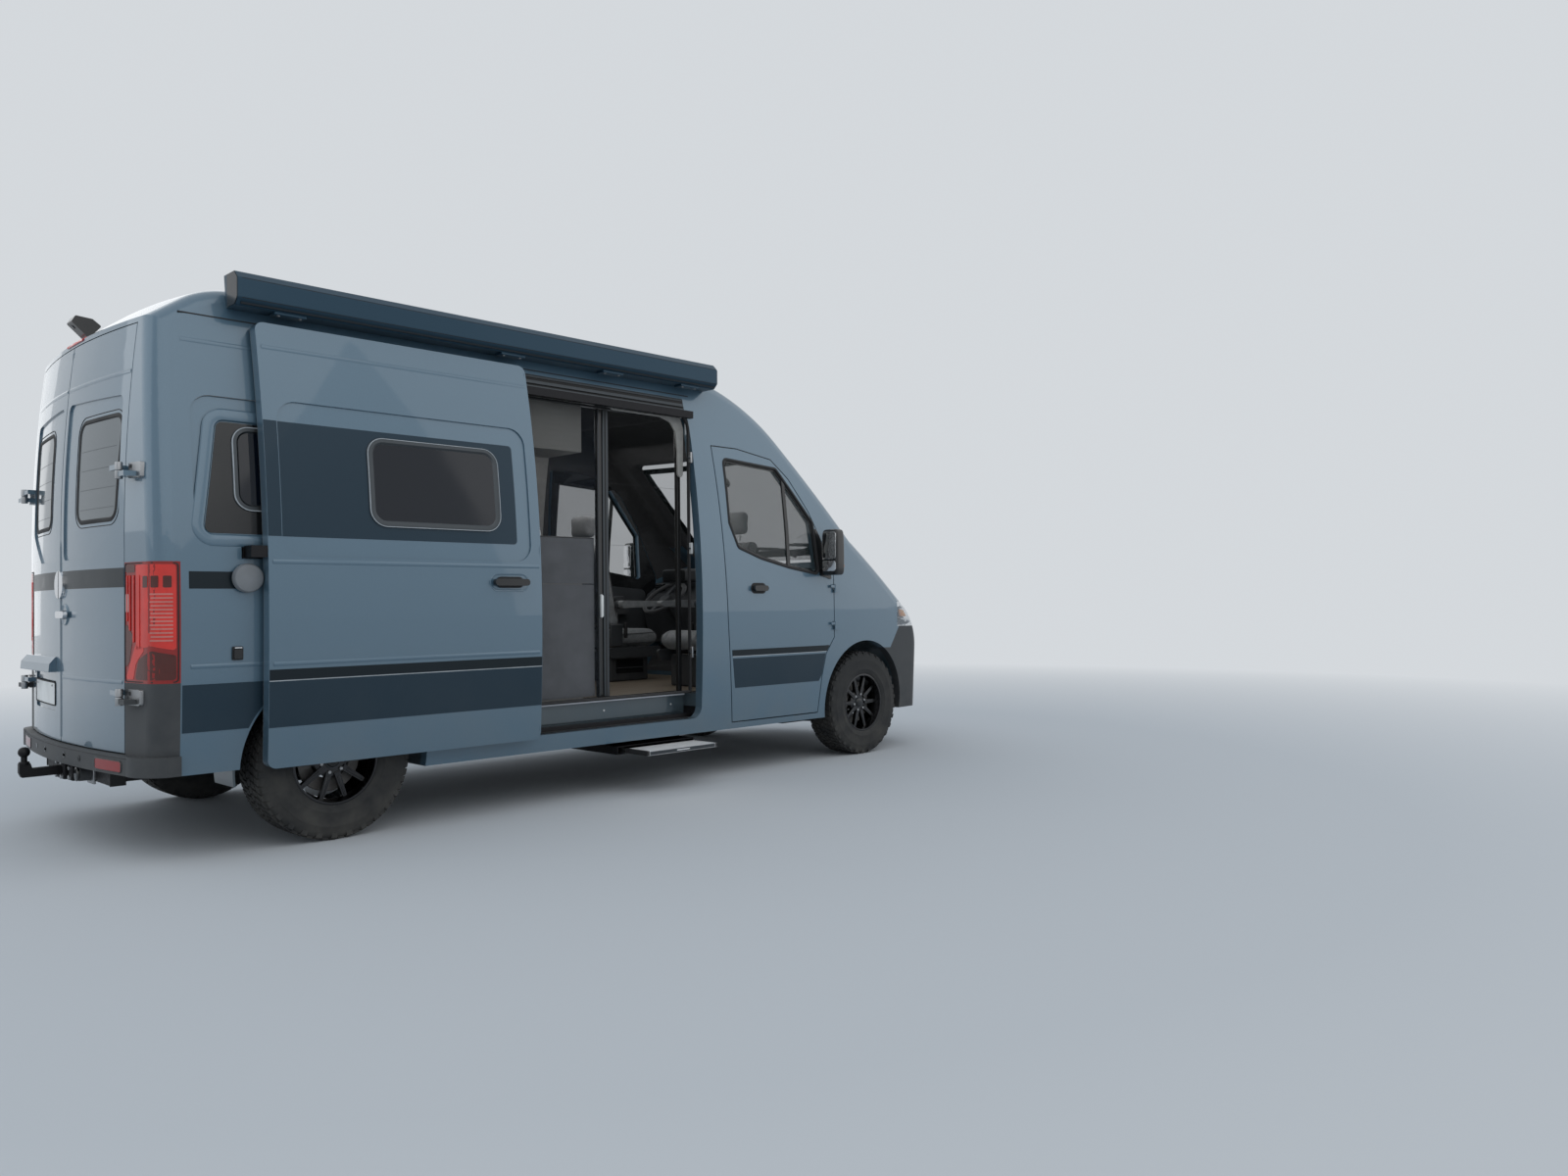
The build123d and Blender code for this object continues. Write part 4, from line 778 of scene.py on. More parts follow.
# Cab doors: films, window seals, mirror bases and handles
for tag, surf in SIDES:
    body = "door_front_" + tag
    film("cab_band_" + tag, [(2.594, 0.56), (3.399, 0.56), (3.428, 0.6), (3.466, 0.749), (2.57, 0.749)], surf,
         body=body)
    film("cab_stripe_" + tag, [(2.566, 0.765), (3.478, 0.765), (3.51, 0.804), (2.562, 0.804)], surf, "film_dark",
         body)
    # A pale strip along the band's top edge: a painted highlight
    film("cab_band_highlight_" + tag, [(2.568, 0.76), (3.474, 0.76), (3.478, 0.7635), (2.567, 0.7635)], surf, "highlight_line",
         body)
    pane = [(2.57, 2.035), (3.05, 2.005), (3.364, 1.655), (3.404, 1.3), (3.1, 1.345), (2.84, 1.4), (2.64, 1.465),
            (2.572, 1.62)]
    loft("cab_window_seal_" + tag, pane, 0.03, SEAL, surf, "rubber", body=body)
    loft("cab_pane_seal_" + tag, pane, 0.03, [(4, -16), (4, -6), (-16, -8), (-18, -16)], surf, "black_gloss",
         body=body)
    strip("cab_window_bar_" + tag, [(3.105, 1.335), (3.108, 1.6), (3.112, 1.955)],
          [(-14, -14), (-14, -2), (14, -2), (14, -14)], surf, "black_gloss", body)
    patch("mirror_base_" + tag, rounded([(3.412, 1.29), (3.535, 1.262), (3.425, 1.56), (3.375, 1.65)], 0.01), surf,
          -0.004, 0.007, "black_gloss", 0.002, body)
    patch("cab_cup_" + tag, pad(2.735, 2.875, 1.165, 1.235, 0.033, 8), surf, -0.002, 0.0012, "rubber", body=body)
    patch("cab_handle_" + tag, pad(2.742, 2.868, 1.182, 1.218, 0.017, 8), surf, 0.014, 0.034, "black_gloss", 0.008,
          body)
    for k, u in enumerate((2.757, 2.853)):
        patch("cab_handle_post_%s_%d" % (tag, k), pad(u - 0.012, u + 0.012, 1.186, 1.214, 0.008), surf, 0, 0.016,
              "black_gloss", body=body)

# Framed windows: frame, pale line painted as a highlight, and pane
for name, points, radius, surf, frame_profile, highlight_profile, (d0, d1) in (
    ("slide_window_%s", box_points(0.143, 0.81, 1.512, 1.898), 0.06, slid,
     [(26, -18), (26, -5), (21, 1), (4, 2), (-6, -4), (-6, -18)], [(24, -1), (23.5, 2.5), (20.5, 2.8), (19.8, -1)],
     (-0.01, -0.004)),
    *(("quarter_window_%s_" + tag, box_points(-0.45, 0.24, 1.56, 1.9), 0.055, surf,
       [(24, -14), (24, -4), (19, 3), (2, 4), (-6, -2), (-6, -14)], [(22, 1), (21.5, 4.5), (17.5, 4.8), (16.8, 1)],
       (-0.008, -0.002)) for tag, surf in SIDES),
    ("left_window_%s", box_points(1.432, 2.148, 1.502, 1.928), 0.06, left,
     [(26, -20), (26, -4), (21, 4), (4, 5), (-6, 0), (-6, -20)], [(24, 2), (23.5, 5.5), (20.5, 5.8), (19.8, 2)],
     (-0.008, -0.001)),
):
    loft(name % "frame", points, radius, frame_profile, surf, "alloy_dark", 8)
    # The pale line on the frame is a painted highlight
    loft(name % "line", points, radius, highlight_profile, surf, "highlight_line", 8)
    patch(name % "pane", rounded(points, radius, 8), surf, d0, d1, "glass_dark", 0.002)

# Handle, press lines and edges of the sliding door, press lines of the sides
loft("slide_handle_cup", box_points(0.763, 0.981, 1.184, 1.264), 0.038,
     [(8, 0.2), (6, 2.2), (0, 1.8), (-10, -4), (-24, -6)], slid, "paint", 8, closed=False)
patch("slide_handle", rounded([(0.768, 1.207), (0.976, 1.207), (0.976, 1.243), (0.768, 1.243)], 0.017, 8), slid, 0.01,
      0.034, "black_gloss", 0.009)
patch("slide_handle_back", pad(0.79, 0.95, 1.196, 1.254, 0.028, 8), slid, -0.004, 0.012, "rubber", 0.003)
for k, z in enumerate((0.852, 1.31, 2.294)):
    strip("slide_bead_%d" % k, [(-0.345 + 0.1 * i, z) for i in range(15)], BEAD, slid, "paint")
strip("slide_edge_front", [(1.064, 0.43), (1.064, 1.4), (1.064, 2.37)], [(-4, -4), (-3, 2.2), (3.5, 2.2), (4.5, -6)],
      slid, "paint")
for (tag, surf), end in zip(SIDES, (1.04, 2.44)):
    for k, z in enumerate((0.852, 2.294)):
        strip("side_bead_%s_%d" % (tag, k), [(-0.66 + (end + 0.66) * i / 12, z) for i in range(13)], BEAD, surf,
              "paint")

# Filler cap and socket on the right rear quarter
lathe("filler_cap", [(0, 46), (50, 45), (60, 41), (64.5, 32), (65, 12), (58, 8), (58, -12)],
      (-0.43, -side_y(-0.43, 1.237), 1.237), (0, -1, 0), "grey", 56)
patch("socket_base", pad(-0.492, -0.447, 0.874, 0.934, 0.006), right, 0, 0.01, "rubber", 0.002)
patch("socket_lid", pad(-0.487, -0.452, 0.88, 0.922, 0.005), right, 0.009, 0.016, "black_gloss", 0.003)
tube("socket_hinge", [(-0.485, -side_y(-0.47, 0.9) - 0.014, 0.928), (-0.454, -side_y(-0.47, 0.9) - 0.014, 0.928)],
     0.003, "chrome")

# Rear doors: windows, heater lines, beads, half roundels, hinges, handle and blank plate
for tag, sign in SIGNS:
    body = "door_rear_" + tag
    w = [(sign * 0.225, 1.51), (sign * 0.645, 1.51), (sign * 0.684, 1.96), (sign * 0.225, 1.96)]
    loft("rear_window_seal_" + tag, w, 0.055, [(18, -20), (18, -8.5), (12, -5), (2, -4), (-4, -8), (-4, -20)], rear,
         "rubber", 8, body)
    loft("rear_window_line_" + tag, w, 0.055, [(34, -9), (33, -6.5), (30, -6.5), (29, -9)], rear, "rubber", 8, body)
    # The pane is opaque light grey: blinds behind it, plus a painted reflection of the sky
    patch("rear_window_pane_" + tag, rounded(w, 0.055, 8), rear, -0.0135, -0.0085, "glass_blind_and_sky", 0.002, body)
    for k in range(4):
        z = 1.56 + 0.09 * k
        strip("rear_heater_%s_%d" % (tag, k), [(sign * (0.25 + 0.035 * i), z) for i in range(12)],
              [(-0.7, -8.7), (-0.7, -7.9), (0.7, -7.9), (0.7, -8.7)], rear, "alloy_dark", body)
    strip("rear_bead_top_" + tag, [(sign * (0.02 + 0.08 * i), 2.15) for i in range(10)], BEAD, rear, "paint", body)
    low = (0.64, 0.69, 0.73) if sign > 0 else (0.02, 0.2, 0.4, 0.6, 0.73)
    strip("rear_bead_low_" + tag, [(sign * y, 0.785) for y in low], BEAD, rear, "paint", body)
    arc = [math.radians(-85 + 17 * k) for k in range(11)]
    half = [(0.0055, 1.155), *((0.0055 + 0.063 * math.cos(a), 1.222 + 0.066 * math.sin(a)) for a in arc),
            (0.0055, 1.288)]
    patch("roundel_" + tag, [(sign * y, z) for y, z in half], rear, 0.0, 0.012, "chrome", 0.004, body)
    strip("rear_edge_" + tag, [(sign * 0.0075, 0.5), (sign * 0.0075, 1.4), (sign * 0.0075, 2.34)],
          [(-3, -4), (-2, 1.8), (2, 1.8), (3, -4)], rear, "paint", body)
    for z in HINGE_Z:
        tags, at = "%s_%d" % (tag, z * 1000), (HINGE_X, sign * HINGE_Y, z)
        pin = [(0, -36), (14.5, -36), (15.5, -33), (15.5, -3), (13.5, -0.5)]
        lathe("rear_hinge_pin_" + tags, pin, at, (0, 0, 1), "zinc", 28)
        lathe("rear_hinge_cap_" + tags, [(r, -h) for r, h in pin[::-1]], at, (0, 0, 1), "zinc", 28, body)
patch("rear_cup", pad(-0.122, -0.018, 1.028, 1.132, 0.0515, 12), rear, -0.001, 0.0015, "paint", 0.001,
      "door_rear_right")
loft("rear_cup_ring", box_points(-0.114, -0.026, 1.036, 1.124), 0.0435, [(8, 0.5), (3, 6), (-3, 3), (-12, 1.4)], rear,
     "paint", 12, "door_rear_right", False)
patch("rear_handle", pad(-0.136, -0.01, 1.064, 1.096, 0.0145, 8), rear, 0.01, 0.028, "chrome", 0.007,
      "door_rear_right")
patch("rear_handle_post", pad(-0.09, -0.05, 1.06, 1.1, 0.018, 8), rear, 0.0, 0.012, "black_gloss",
      body="door_rear_right")
plate = box_points(0.10, 0.595, 0.642, 0.752)
patch("plate_blank", rounded(plate, 0.008), rear, -0.004, 0.001, "plate", 0.001, "door_rear_left")
loft("plate_rim", plate, 0.008, [(4, -6), (3, 4), (-2, 4), (-3, 0)], rear, "rubber", body="door_rear_left")
for k, y in enumerate((0.16, 0.53)):
    lathe("plate_screw_%d" % k, [(0, 3.5), (4, 3), (5, 0), (5, -4)], (rear_x(y, 0.735) - 0.001, y, 0.735), (-1, 0, 0),
          "zinc", 16, "door_rear_left")
for k, y in enumerate((0.22, 0.48)):
    prism("plate_lamp_%d" % k, pad(rear_x(y, 0.8) - 0.024, rear_x(y, 0.8) - 0.006, y - 0.035, y + 0.035, 0.003),
          flat(0.7985), 0.0, 0.0065, "lamp_clear", body="door_rear_left")

# Tail lamps: lens zones, light guides, ribs and gasket
LAMP_STEP = (0.02, 0.05)
for tag, sign in SIGNS:
    lamp = corner("tail_lamps", sign)
    lens = [(0.004, 0.792), (0.308, 0.792), (0.308, 1.300), (0.004, 1.300)]
    loft("lamp_gasket_" + tag, lens, 0.012, [(4, -4), (3, 2.5), (-1, 2.5), (-2, -4)], lamp, "rubber", 3)
    for name, zone in (
        ("lamp_smoke_low_", [(0.118, 0.8), (0.302, 0.8), (0.302, 0.905), (0.225, 0.925), (0.15, 0.885)]),
        ("lamp_smoke_left_", [(0.008, 0.845), (0.055, 0.875), (0.098, 0.99), (0.008, 1.045)]),
        ("lamp_smoke_top_", [(0.008, 1.262), (0.118, 1.262), (0.118, 1.296), (0.008, 1.296)]),
        ("lamp_bright_side_", [(0.128, 0.925), (0.225, 0.945), (0.302, 0.925), (0.302, 1.294), (0.128, 1.294)]),
        ("lamp_bright_slant_", [(0.008, 0.8), (0.1, 0.8), (0.125, 0.865), (0.2, 0.935), (0.128, 0.955),
                                (0.06, 0.865)]),
    ):
        patch(name + tag, rounded(zone, 0.012), lamp, -0.002, 0.0011, "lamp_" + name.split("_")[1], step=LAMP_STEP)
    for k, (u, z0, z1) in enumerate((
        (0.03, 1.05, 1.25), (0.062, 1.01, 1.25), (0.105, 0.96, 1.25), (0.155, 0.94, 1.25),
    )):
        patch("lamp_guide_%s_%d" % (tag, k), pad(u - 0.006, u + 0.006, z0, z1, 0.0055), lamp, -0.001, 0.004,
              "lamp_bright", 0.002, step=LAMP_STEP)
    for k, u in enumerate((0.195, 0.235, 0.275)):
        patch("lamp_cell_%s_%d" % (tag, k), pad(u - 0.013, u + 0.013, 1.195, 1.245, 0.004), lamp, -0.001, 0.0022,
              "lamp_smoke", step=LAMP_STEP)
    for k in range(13):
        z = 0.965 + 0.0165 * k
        patch("lamp_rib_%s_%d" % (tag, k), pad(0.218 + 0.004 * (k % 2), 0.292, z, z + 0.007, 0.003, 3), lamp, -0.001,
              0.0024, "lamp_rib", step=LAMP_STEP)
    patch("lamp_white_" + tag, pad(0.012, 0.045, 1.09, 1.17, 0.008), lamp, -0.001, 0.0026, "lamp_white",
          step=LAMP_STEP)

    # Rear hinge leaves
    for z in HINGE_Z:
        tags = "%s_%d" % (tag, z * 1000)
        leaf = pad(sign * 0.811, sign * 0.908, z - 0.034, z + 0.034, 0.008)
        patch("hinge_post_" + tags, leaf, rear, -0.004, 0.016, "zinc", 0.004)
        # The holes are black patches on the post: painted shade in place of openings
        for k, dz in enumerate((-0.017, 0.017)):
            hole = pad(sign * 0.822, sign * 0.84, z + dz - 0.008, z + dz + 0.008, 0.004)
            patch("hinge_hole_shade_%s_%d" % (tags, k), hole, rear, 0.012, 0.0168, "rubber")

# Rear bumper: reflectors, a black groove strip of painted shade, and the tow bar's fittings
bumper = cast("rear_bumper", 0, -1)
for tag, sign in SIGNS:
    slot = box_points(sign * 0.545, sign * 0.79, 0.402, 0.447)
    patch("bumper_reflector_" + tag, rounded(slot, 0.012), bumper, -0.002, 0.003, "lamp_red", 0.0012,
          step=(0.03, 0.05))
    loft("bumper_reflector_rim_" + tag, slot, 0.012, [(5, -3), (4, 3.5), (0.5, 4), (-1, -3)], bumper, "black_gloss",
         4)
    for k, y in enumerate((0.16, 0.36)):
        patch("bumper_plug_%s_%d" % (tag, k), pad(sign * (y - 0.014), sign * (y + 0.014), 0.416, 0.444, 0.0135, 8),
              bumper, -0.001, 0.0018, "black_gloss", 0.0008)
# The groove is a raised black strip: painted shade in place of a recess
strip("bumper_groove_shade", [(-0.9 + 0.1 * i, 0.462) for i in range(19)], [(-2, -2), (-1, 1), (1, 1), (2, -2)], bumper,
      "rubber")
slab("tow_housing", (-0.905, -0.055, 0.3), (-0.832, 0.055, 0.395), "steel_black", 0.008)
slab("tow_bracket_right", (-0.9, -0.175, 0.305), (-0.832, -0.125, 0.38), "steel_black", 0.006)
slab("tow_cover_left", (-0.845, 0.3, 0.306), (-0.828, 0.46, 0.374), "steel_black", 0.003)
for tag, y0, y1 in (("left", 0.518, 0.525), ("right", -0.525, -0.518)):
    slab("tow_end_" + tag, (-0.838, y0, 0.307), (-0.772, y1, 0.373), "rubber")
lathe("tow_socket", [(0, 52), (28, 50), (34, 44), (35, 0), (42, -4), (42, -12), (30, -14)], (-0.845, -0.245, 0.345),
      (-1, 0, 0), "dark_plastic", 32)
lathe("tow_socket_lid", [(0, 60), (24, 59), (32, 56), (34, 51.5), (0, 51.5)], (-0.845, -0.245, 0.345), (-1, 0, 0),
      "black_gloss", 32)
slab("tow_socket_plate", (-0.843, -0.295, 0.295), (-0.832, -0.195, 0.388), "zinc", 0.003)
for k, (y, z) in enumerate((
    (-0.04, 0.38), (0.04, 0.38), (-0.04, 0.315), (0.04, 0.315), (-0.15, 0.365), (-0.15, 0.32),
)):
    lathe("tow_bolt_%d" % k, [(0, 11), (8.5, 11), (10.5, 9), (10.5, 0)], (-0.904 if k < 4 else -0.899, y, z),
          (-1, 0, 0), "zinc", 6, angle=20)
lathe("tow_collar", [(13.5, -12), (21, -12), (22.5, -9), (22.5, 0), (19, 4), (13.5, 4)], (-1.05, 0, 0.392), (0, 0, 1),
      "steel_black", 28)

# Roof: lights, camera, seams drawn dark as painted shadow, beads and awning
ROOF = cast("roof", 2, 1)
for k, x in enumerate((0.15, 1.45)):
    ring = box_points(x - 0.248, x + 0.248, -0.248, 0.248)
    kerb = [(0, -45), (0, 10), (-5, 16), (-30, 18), (-36, 12), (-36, -45)]
    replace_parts(loft("roof_light_frame_%d" % k, ring, 0.055, kerb, flat(2.64), "white", 8), "roof_fittings")

    def dome(u, v, d, x=x):
        rise = (1 - min(abs((u - x) / 0.214), 1) ** 3) * (1 - min(abs(v / 0.214), 1) ** 3)
        return Vector((u + S, v, 2.652 + 0.024 * rise ** 0.7 + d))
    patch("roof_light_dome_%d" % k, pad(x - 0.212, x + 0.212, -0.212, 0.212, 0.05), dome, 0, 0.004, "acrylic",
          step=(0.04, 0.04))
    patch("roof_light_blind_%d" % k, pad(x - 0.213, x + 0.213, -0.213, 0.213, 0.04), flat(2.6), 0, 0.003, "grey")
cam = rounded([(-0.866, 2.484), (-0.792, 2.414), (-0.737, 2.48), (-0.776, 2.510), (-0.849, 2.516)], 0.008)
o = prism("rear_camera", cam, upright(-0.041), 0, 0.082, "black_gloss", 0.006)
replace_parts(o, "roof_fittings")
lathe("rear_camera_lens", [(0, 6), (7, 5), (10.5, 2), (12.5, 3), (13.5, 0), (13.5, -12)], (-0.846, 0.0, 2.468),
      (-1, 0, -1.05), "glass_dark", 28)
patch("high_brake_lamp", pad(-0.13, 0.13, 2.38, 2.402, 0.008), cast("rear_frame", 0, -1), -0.001, 0.005,
      "lamp_bright", 0.002, step=(0.05, 0.05))
for y in (-0.62, -0.46, -0.36, 0.36, 0.46, 0.62):
    strip("roof_bead_%d" % (y * 100), [(-0.36 + 0.1 * i, y) for i in range(25)],
          [(o * 1.5, h * 1.8) for o, h in BEAD], ROOF, "paint")
# Dark strips on the roof joint: a real seam, drawn dark as a painted shadow line
for tag, surf in SIDES:
    strip("roof_seam_shadow_" + tag, [(-0.66 + 0.2 * i, 2.4195) for i in range(16)],
          [(-4, -3), (-3, 1.5), (3, 1.5), (4, -3)], surf, "rubber")
case = [(-0.86, 2.473), (-0.944, 2.473), (-0.9735, 2.501), (-0.9735, 2.589), (-0.939, 2.622), (-0.855, 2.622)]
for k, x in enumerate((-0.4535, 2.4735)):
    prism("awning_end_%d" % k, rounded(case, [0.002, 0.012, 0.014, 0.016, 0.014, 0.002]), crosswise(x), 0, 0.01,
          "black_gloss", 0.003)
front = cast("awning_case", 1, -1)
for k, z in enumerate((2.500, 2.590)):
    strip("awning_seam_%d" % k, [(-0.43 + 0.29 * i, z) for i in range(11)],
          [(-2.2, -2), (-1, 1.2), (1, 1.2), (2.2, -2)], front, "rubber")
strip("awning_lip", [(-0.43 + 0.29 * i, 2.4795) for i in range(11)], [(-5, -2), (-4, 6), (3, 7), (5, -2)], front,
      "alloy_dark")
for k, x in enumerate((-0.2, 1.0, 1.68, 2.28)):
    slab("awning_bracket_%d" % k, (x - 0.075, -0.945, 2.458), (x + 0.075, -0.875, 2.4715), "awning", 0.003)
    for j in (-0.05, 0.05):
        lathe("awning_bolt_%d_%d" % (k, j * 100 + 5), [(0, 5), (6, 5), (7.5, 3.5), (7.5, 0)], (x + j, -0.925, 2.458),
              (0, 0, -1), "zinc", 12)

# Wheels: tyres with tread blocks, spoke ribs, caps, bolts, discs and calipers
WALL = [(207.9, 90), (207.9, 104.5), (215, 109.5), (228, 113.2), (238.5, 114.8), (240, 115.8), (244.5, 116),
        (246, 115.3), (272, 116.8), (300, 116.6), (306.5, 117.2), (310.5, 117.1), (312, 116.2), (333, 114.5),
        (348, 109.8), (357, 103.5), (362.5, 94.5), (364, 70)]
# Tread rows: two sides, slant, share of the pitch, foot at each side and top
ROWS = (
    (-0.0985, -0.064, 0.35, 0.76, (0.3535, 0.3605), 0.3705), (-0.057, -0.024, 0.2, 0.68, (0.3605, 0.3605), 0.3715),
    (-0.017, 0.017, -0.2, 0.68, (0.3605, 0.3605), 0.3715), (0.024, 0.057, 0.2, 0.68, (0.3605, 0.3605), 0.3715),
    (0.064, 0.0985, 0.35, 0.76, (0.3605, 0.3535), 0.3705),
)
TREAD_COUNT = 60


def around(x, y, r, a):
    return Vector((x + S + r * math.sin(a), y, AXLE_Z + r * math.cos(a)))


def box_faces(bm, points):
    vs = [bm.verts.new(p) for p in points]
    for f in BOX_FACES:
        bm.faces.new([vs[i] for i in f])


def block(bm, x, ys, feet, top, angles, skew=0.0):
    """A block of a wheel, between two planes, the radii from feet (one for each plane) to top, and two angles."""
    sides = list(zip(ys, feet, (0.0, skew)))
    box_faces(bm, [around(x, y, r, a + slant) for a in angles for y, foot, slant in sides for r in (foot, top)])


for axle, x in (("rear", 0.0), ("front", FRONT_AXLE)):
    for side, sign in (("left", 1), ("right", -1)):
        tag = axle + "_" + side
        wheel = "wheel_" + tag
        cy = sign * TRACK_HALF
        profile = WALL + [(r, -h) for r, h in reversed(WALL)] + [WALL[0]]
        bm = turned(profile, (x, cy, AXLE_Z), (0, 1, 0), 96)
        for row, (y0, y1, slant, wide, feet, top) in enumerate(ROWS):
            for k in range(TREAD_COUNT):
                a = 2 * math.pi * (k + 0.5 * (row % 2)) / TREAD_COUNT
                angles = (a, a + 2 * math.pi / TREAD_COUNT * wide)
                block(bm, x, (cy + y0, cy + y1), feet, top, angles, slant * 0.12)
                if row == 0 and k % 2 == 0:
                    block(bm, x, (cy - 0.1125, cy - 0.0985), (0.334, 0.3535), 0.3625, angles)
                if row == 4 and k % 2 == 0:
                    block(bm, x, (cy + 0.0985, cy + 0.1125), (0.3535, 0.334), 0.3625, angles)
        o = piece("tyre_" + tag + "_tread", bm, "tyre", wheel)
        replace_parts(o, "tyre_" + tag)
        bm = bmesh.new()
        for k in range(10):
            a = 2 * math.pi * k / 10 + math.pi / 2
            box_faces(bm, [around(x, cy + sign * out, r, a + t / r * lean)
                           for r, w in ((0.082, 0.0085), (0.178, 0.0045)) for t in (-w, w)
                           for out, lean in ((0.0695, 1.0), (0.0722, 0.6))])
        piece("spoke_ribs_" + tag, bm, "rim", wheel, 0.001)
        hub = (x, cy, AXLE_Z)
        axis = (0, sign, 0)
        lathe("rim_lip_" + tag, [(196, 101.2), (198.5, 105.5), (203.5, 106.2), (207, 104.5), (207, 101.2)], hub, axis,
              "rim", 72, wheel)
        lathe("hub_cap_" + tag, [(0, 73.5), (18, 72.8), (29, 70.5), (31.5, 67.5), (31.5, 60)], hub, axis,
              "black_gloss", 36, wheel)
        lathe("hub_ring_" + tag, [(33.5, 61.5), (33.5, 66.8), (37.5, 66.8), (39.5, 61.5)], hub, axis, "alloy_dark",
              36, wheel)
        for k in range(6):
            a = 2 * math.pi * k / 6 + 0.3
            at = (x + 0.0575 * math.sin(a), cy, AXLE_Z + 0.0575 * math.cos(a))
            lathe("wheel_bolt_%s_%d" % (tag, k), [(0, 71.5), (7.8, 71.5), (9.2, 70), (9.2, 60.5)], at, axis, "zinc",
                  6, wheel, 20)
        lathe("brake_disc_" + tag, [(88, 0), (150, 0), (152, 2), (152, 16), (150, 18), (88, 18), (88, 0)], hub, axis,
              "cast", 64, wheel)
        at = around(x - S, cy + sign * 0.1075, 0.196, 2.4)
        lathe("valve_" + tag, [(0, 0), (3.5, 0), (4.2, -3), (4.2, -30)], at, axis, "rubber", 12, wheel)
        bm = bmesh.new()
        for y0, y1, r0, r1 in (
            (0.0215, 0.036, 0.098, 0.166), (-0.02, 0.036, 0.1555, 0.166), (-0.02, -0.004, 0.098, 0.166),
        ):
            ys = sorted((cy + sign * y0, cy + sign * y1))
            for k in range(6):
                a = -1.85 + 0.13 * k
                block(bm, x, ys, (r0, r0), r1, (a, a + 0.13))
        bmesh.ops.remove_doubles(bm, verts=bm.verts, dist=1e-5)
        piece("caliper_" + tag, bm, "cast", "steer_" + side if axle == "front" else "van_body")

# Doorway: seal, sill, rails, step and insect screen
opening = box_points(1.060, 2.300, 0.545, 2.304)
loft("doorway_seal", opening, [0.01, 0.01, 0.12, 0.03], [(0, -6), (-6, -12), (-14, -8), (-16, 6), (-10, 14), (0, 14)],
     upright(-0.905), "rubber", 8)
trim = [(1.72, 2.262), (2.1, 2.262), (2.176, 2.238), (2.222, 2.18), (2.236, 2.06), (2.238, 1.9), (2.278, 1.9),
        (2.284, 2.2), (2.262, 2.262), (2.22, 2.288), (1.72, 2.288)]
patch("doorway_trim", rounded(trim, 0.02), upright(-0.868), 0.0, 0.012, "lining_light", 0.004, step=(0.2, 0.2))
slab("sill_strip", (1.062, -0.846, 0.529), (2.298, -0.8185, 0.5455), "alu_matt")
for k in range(3):
    slab("sill_rib_%d" % k, (1.066, -0.843 + 0.008 * k, 0.545), (2.294, -0.84 + 0.008 * k, 0.5468), "alu_matt",
         0.0006)
slab("well_mat", (1.066, -0.93, 0.3922), (2.294, -0.902, 0.3965), "rubber")
# The riser takes the darker copy of the body paint, as painted shade in the step well
slab("well_riser", (1.066, -0.8265, 0.424), (2.294, -0.8205, 0.528), "paint_painted_shade")
for k, x in enumerate((1.16, 1.68, 2.20)):
    lathe("riser_screw_%d" % k, [(0, 3), (5, 2.5), (7, 0), (7, -4)], (x, -0.8265, 0.475), (0, -1, 0), "alloy", 16)
slab("header_rail", (1.062, -0.898, 2.268), (2.298, -0.872, 2.3), "black_gloss", 0.003)
# The slot is a black slab proud of the rail: painted shade in place of a recess
slab("header_slot_shade", (1.075, -0.8995, 2.28), (2.285, -0.894, 2.288), "rubber", 0.001)
patch("gutter_band", rounded([(1.072, 2.312), (2.286, 2.312), (2.286, 2.395), (1.072, 2.395)], 0.006), right, -0.002,
      0.0012, "rubber")
for k, (z, w, h) in enumerate(((2.326, 6, 6), (2.352, 11, 9), (2.384, 6, 5))):
    rail = [(-w, -1), (-w * 0.8, h), (w * 0.8, h), (w, -1)]
    strip("gutter_rail_%d" % k, [(1.076 + 0.1 * i, z) for i in range(13)], rail, right, "alloy_dark")
for k, z in enumerate((0.80, 1.45, 2.02)):
    slab("striker_%d" % k, (2.286, -0.935, z - 0.035), (2.301, -0.91, z + 0.035), "zinc" if k != 1 else "white",
         0.004)
    lathe("striker_pin_%d" % k, [(0, 16), (6, 15), (7, 13), (7, 0)], (2.288, -0.9225, z), (-1, 0, 0), "alloy_dark",
          16)

HALF_PLEATS, PLEAT = 76, 0.010
NET_X, NET_Y, NET_Z = (1.084, 1.652), -0.802, (0.556, 2.266)
wide, high = NET_X[1] - NET_X[0], NET_Z[1] - NET_Z[0]
bm = bmesh.new()
cols = []
for k in range(HALF_PLEATS + 1):
    x = NET_X[0] + wide * k / HALF_PLEATS
    y = NET_Y + (PLEAT / 2 if k % 2 else -PLEAT / 2)
    cols.append([bm.verts.new((x + S, y, NET_Z[0] + high * j / 8)) for j in range(9)])
for a, b in zip(cols, cols[1:]):
    for j in range(8):
        bm.faces.new((a[j], b[j], b[j + 1], a[j + 1]))
net = piece("screen_net", bm, "net", angle=5)
for name, lo, hi in (
    ("low", (1.058, -0.816, 0.5415), (2.302, -0.788, 0.5545)),
    ("top", (1.058, -0.816, 2.268), (2.302, -0.788, 2.294)), ("rear", (1.058, -0.816, 0.554), (1.084, -0.788, 2.268)),
    ("front", (2.276, -0.816, 0.554), (2.302, -0.788, 2.268)),
    ("pull", (1.652, -0.8155, 0.556), (1.684, -0.7885, 2.266)),
):
    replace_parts(slab("screen_bar_" + name, lo, hi, "black_gloss", 0.003), "flyscreen")
slab("screen_pull_seal", (1.684, -0.808, 0.56), (1.692, -0.796, 2.262), "rubber", 0.001)
slab("screen_pull_line", (1.656, -0.8175, 0.56), (1.662, -0.815, 2.262), "alloy_dark", 0.001)
slab("screen_lock_bar", (1.692, -0.8155, 0.556), (1.734, -0.7885, 2.266), "alloy_dark", 0.004)
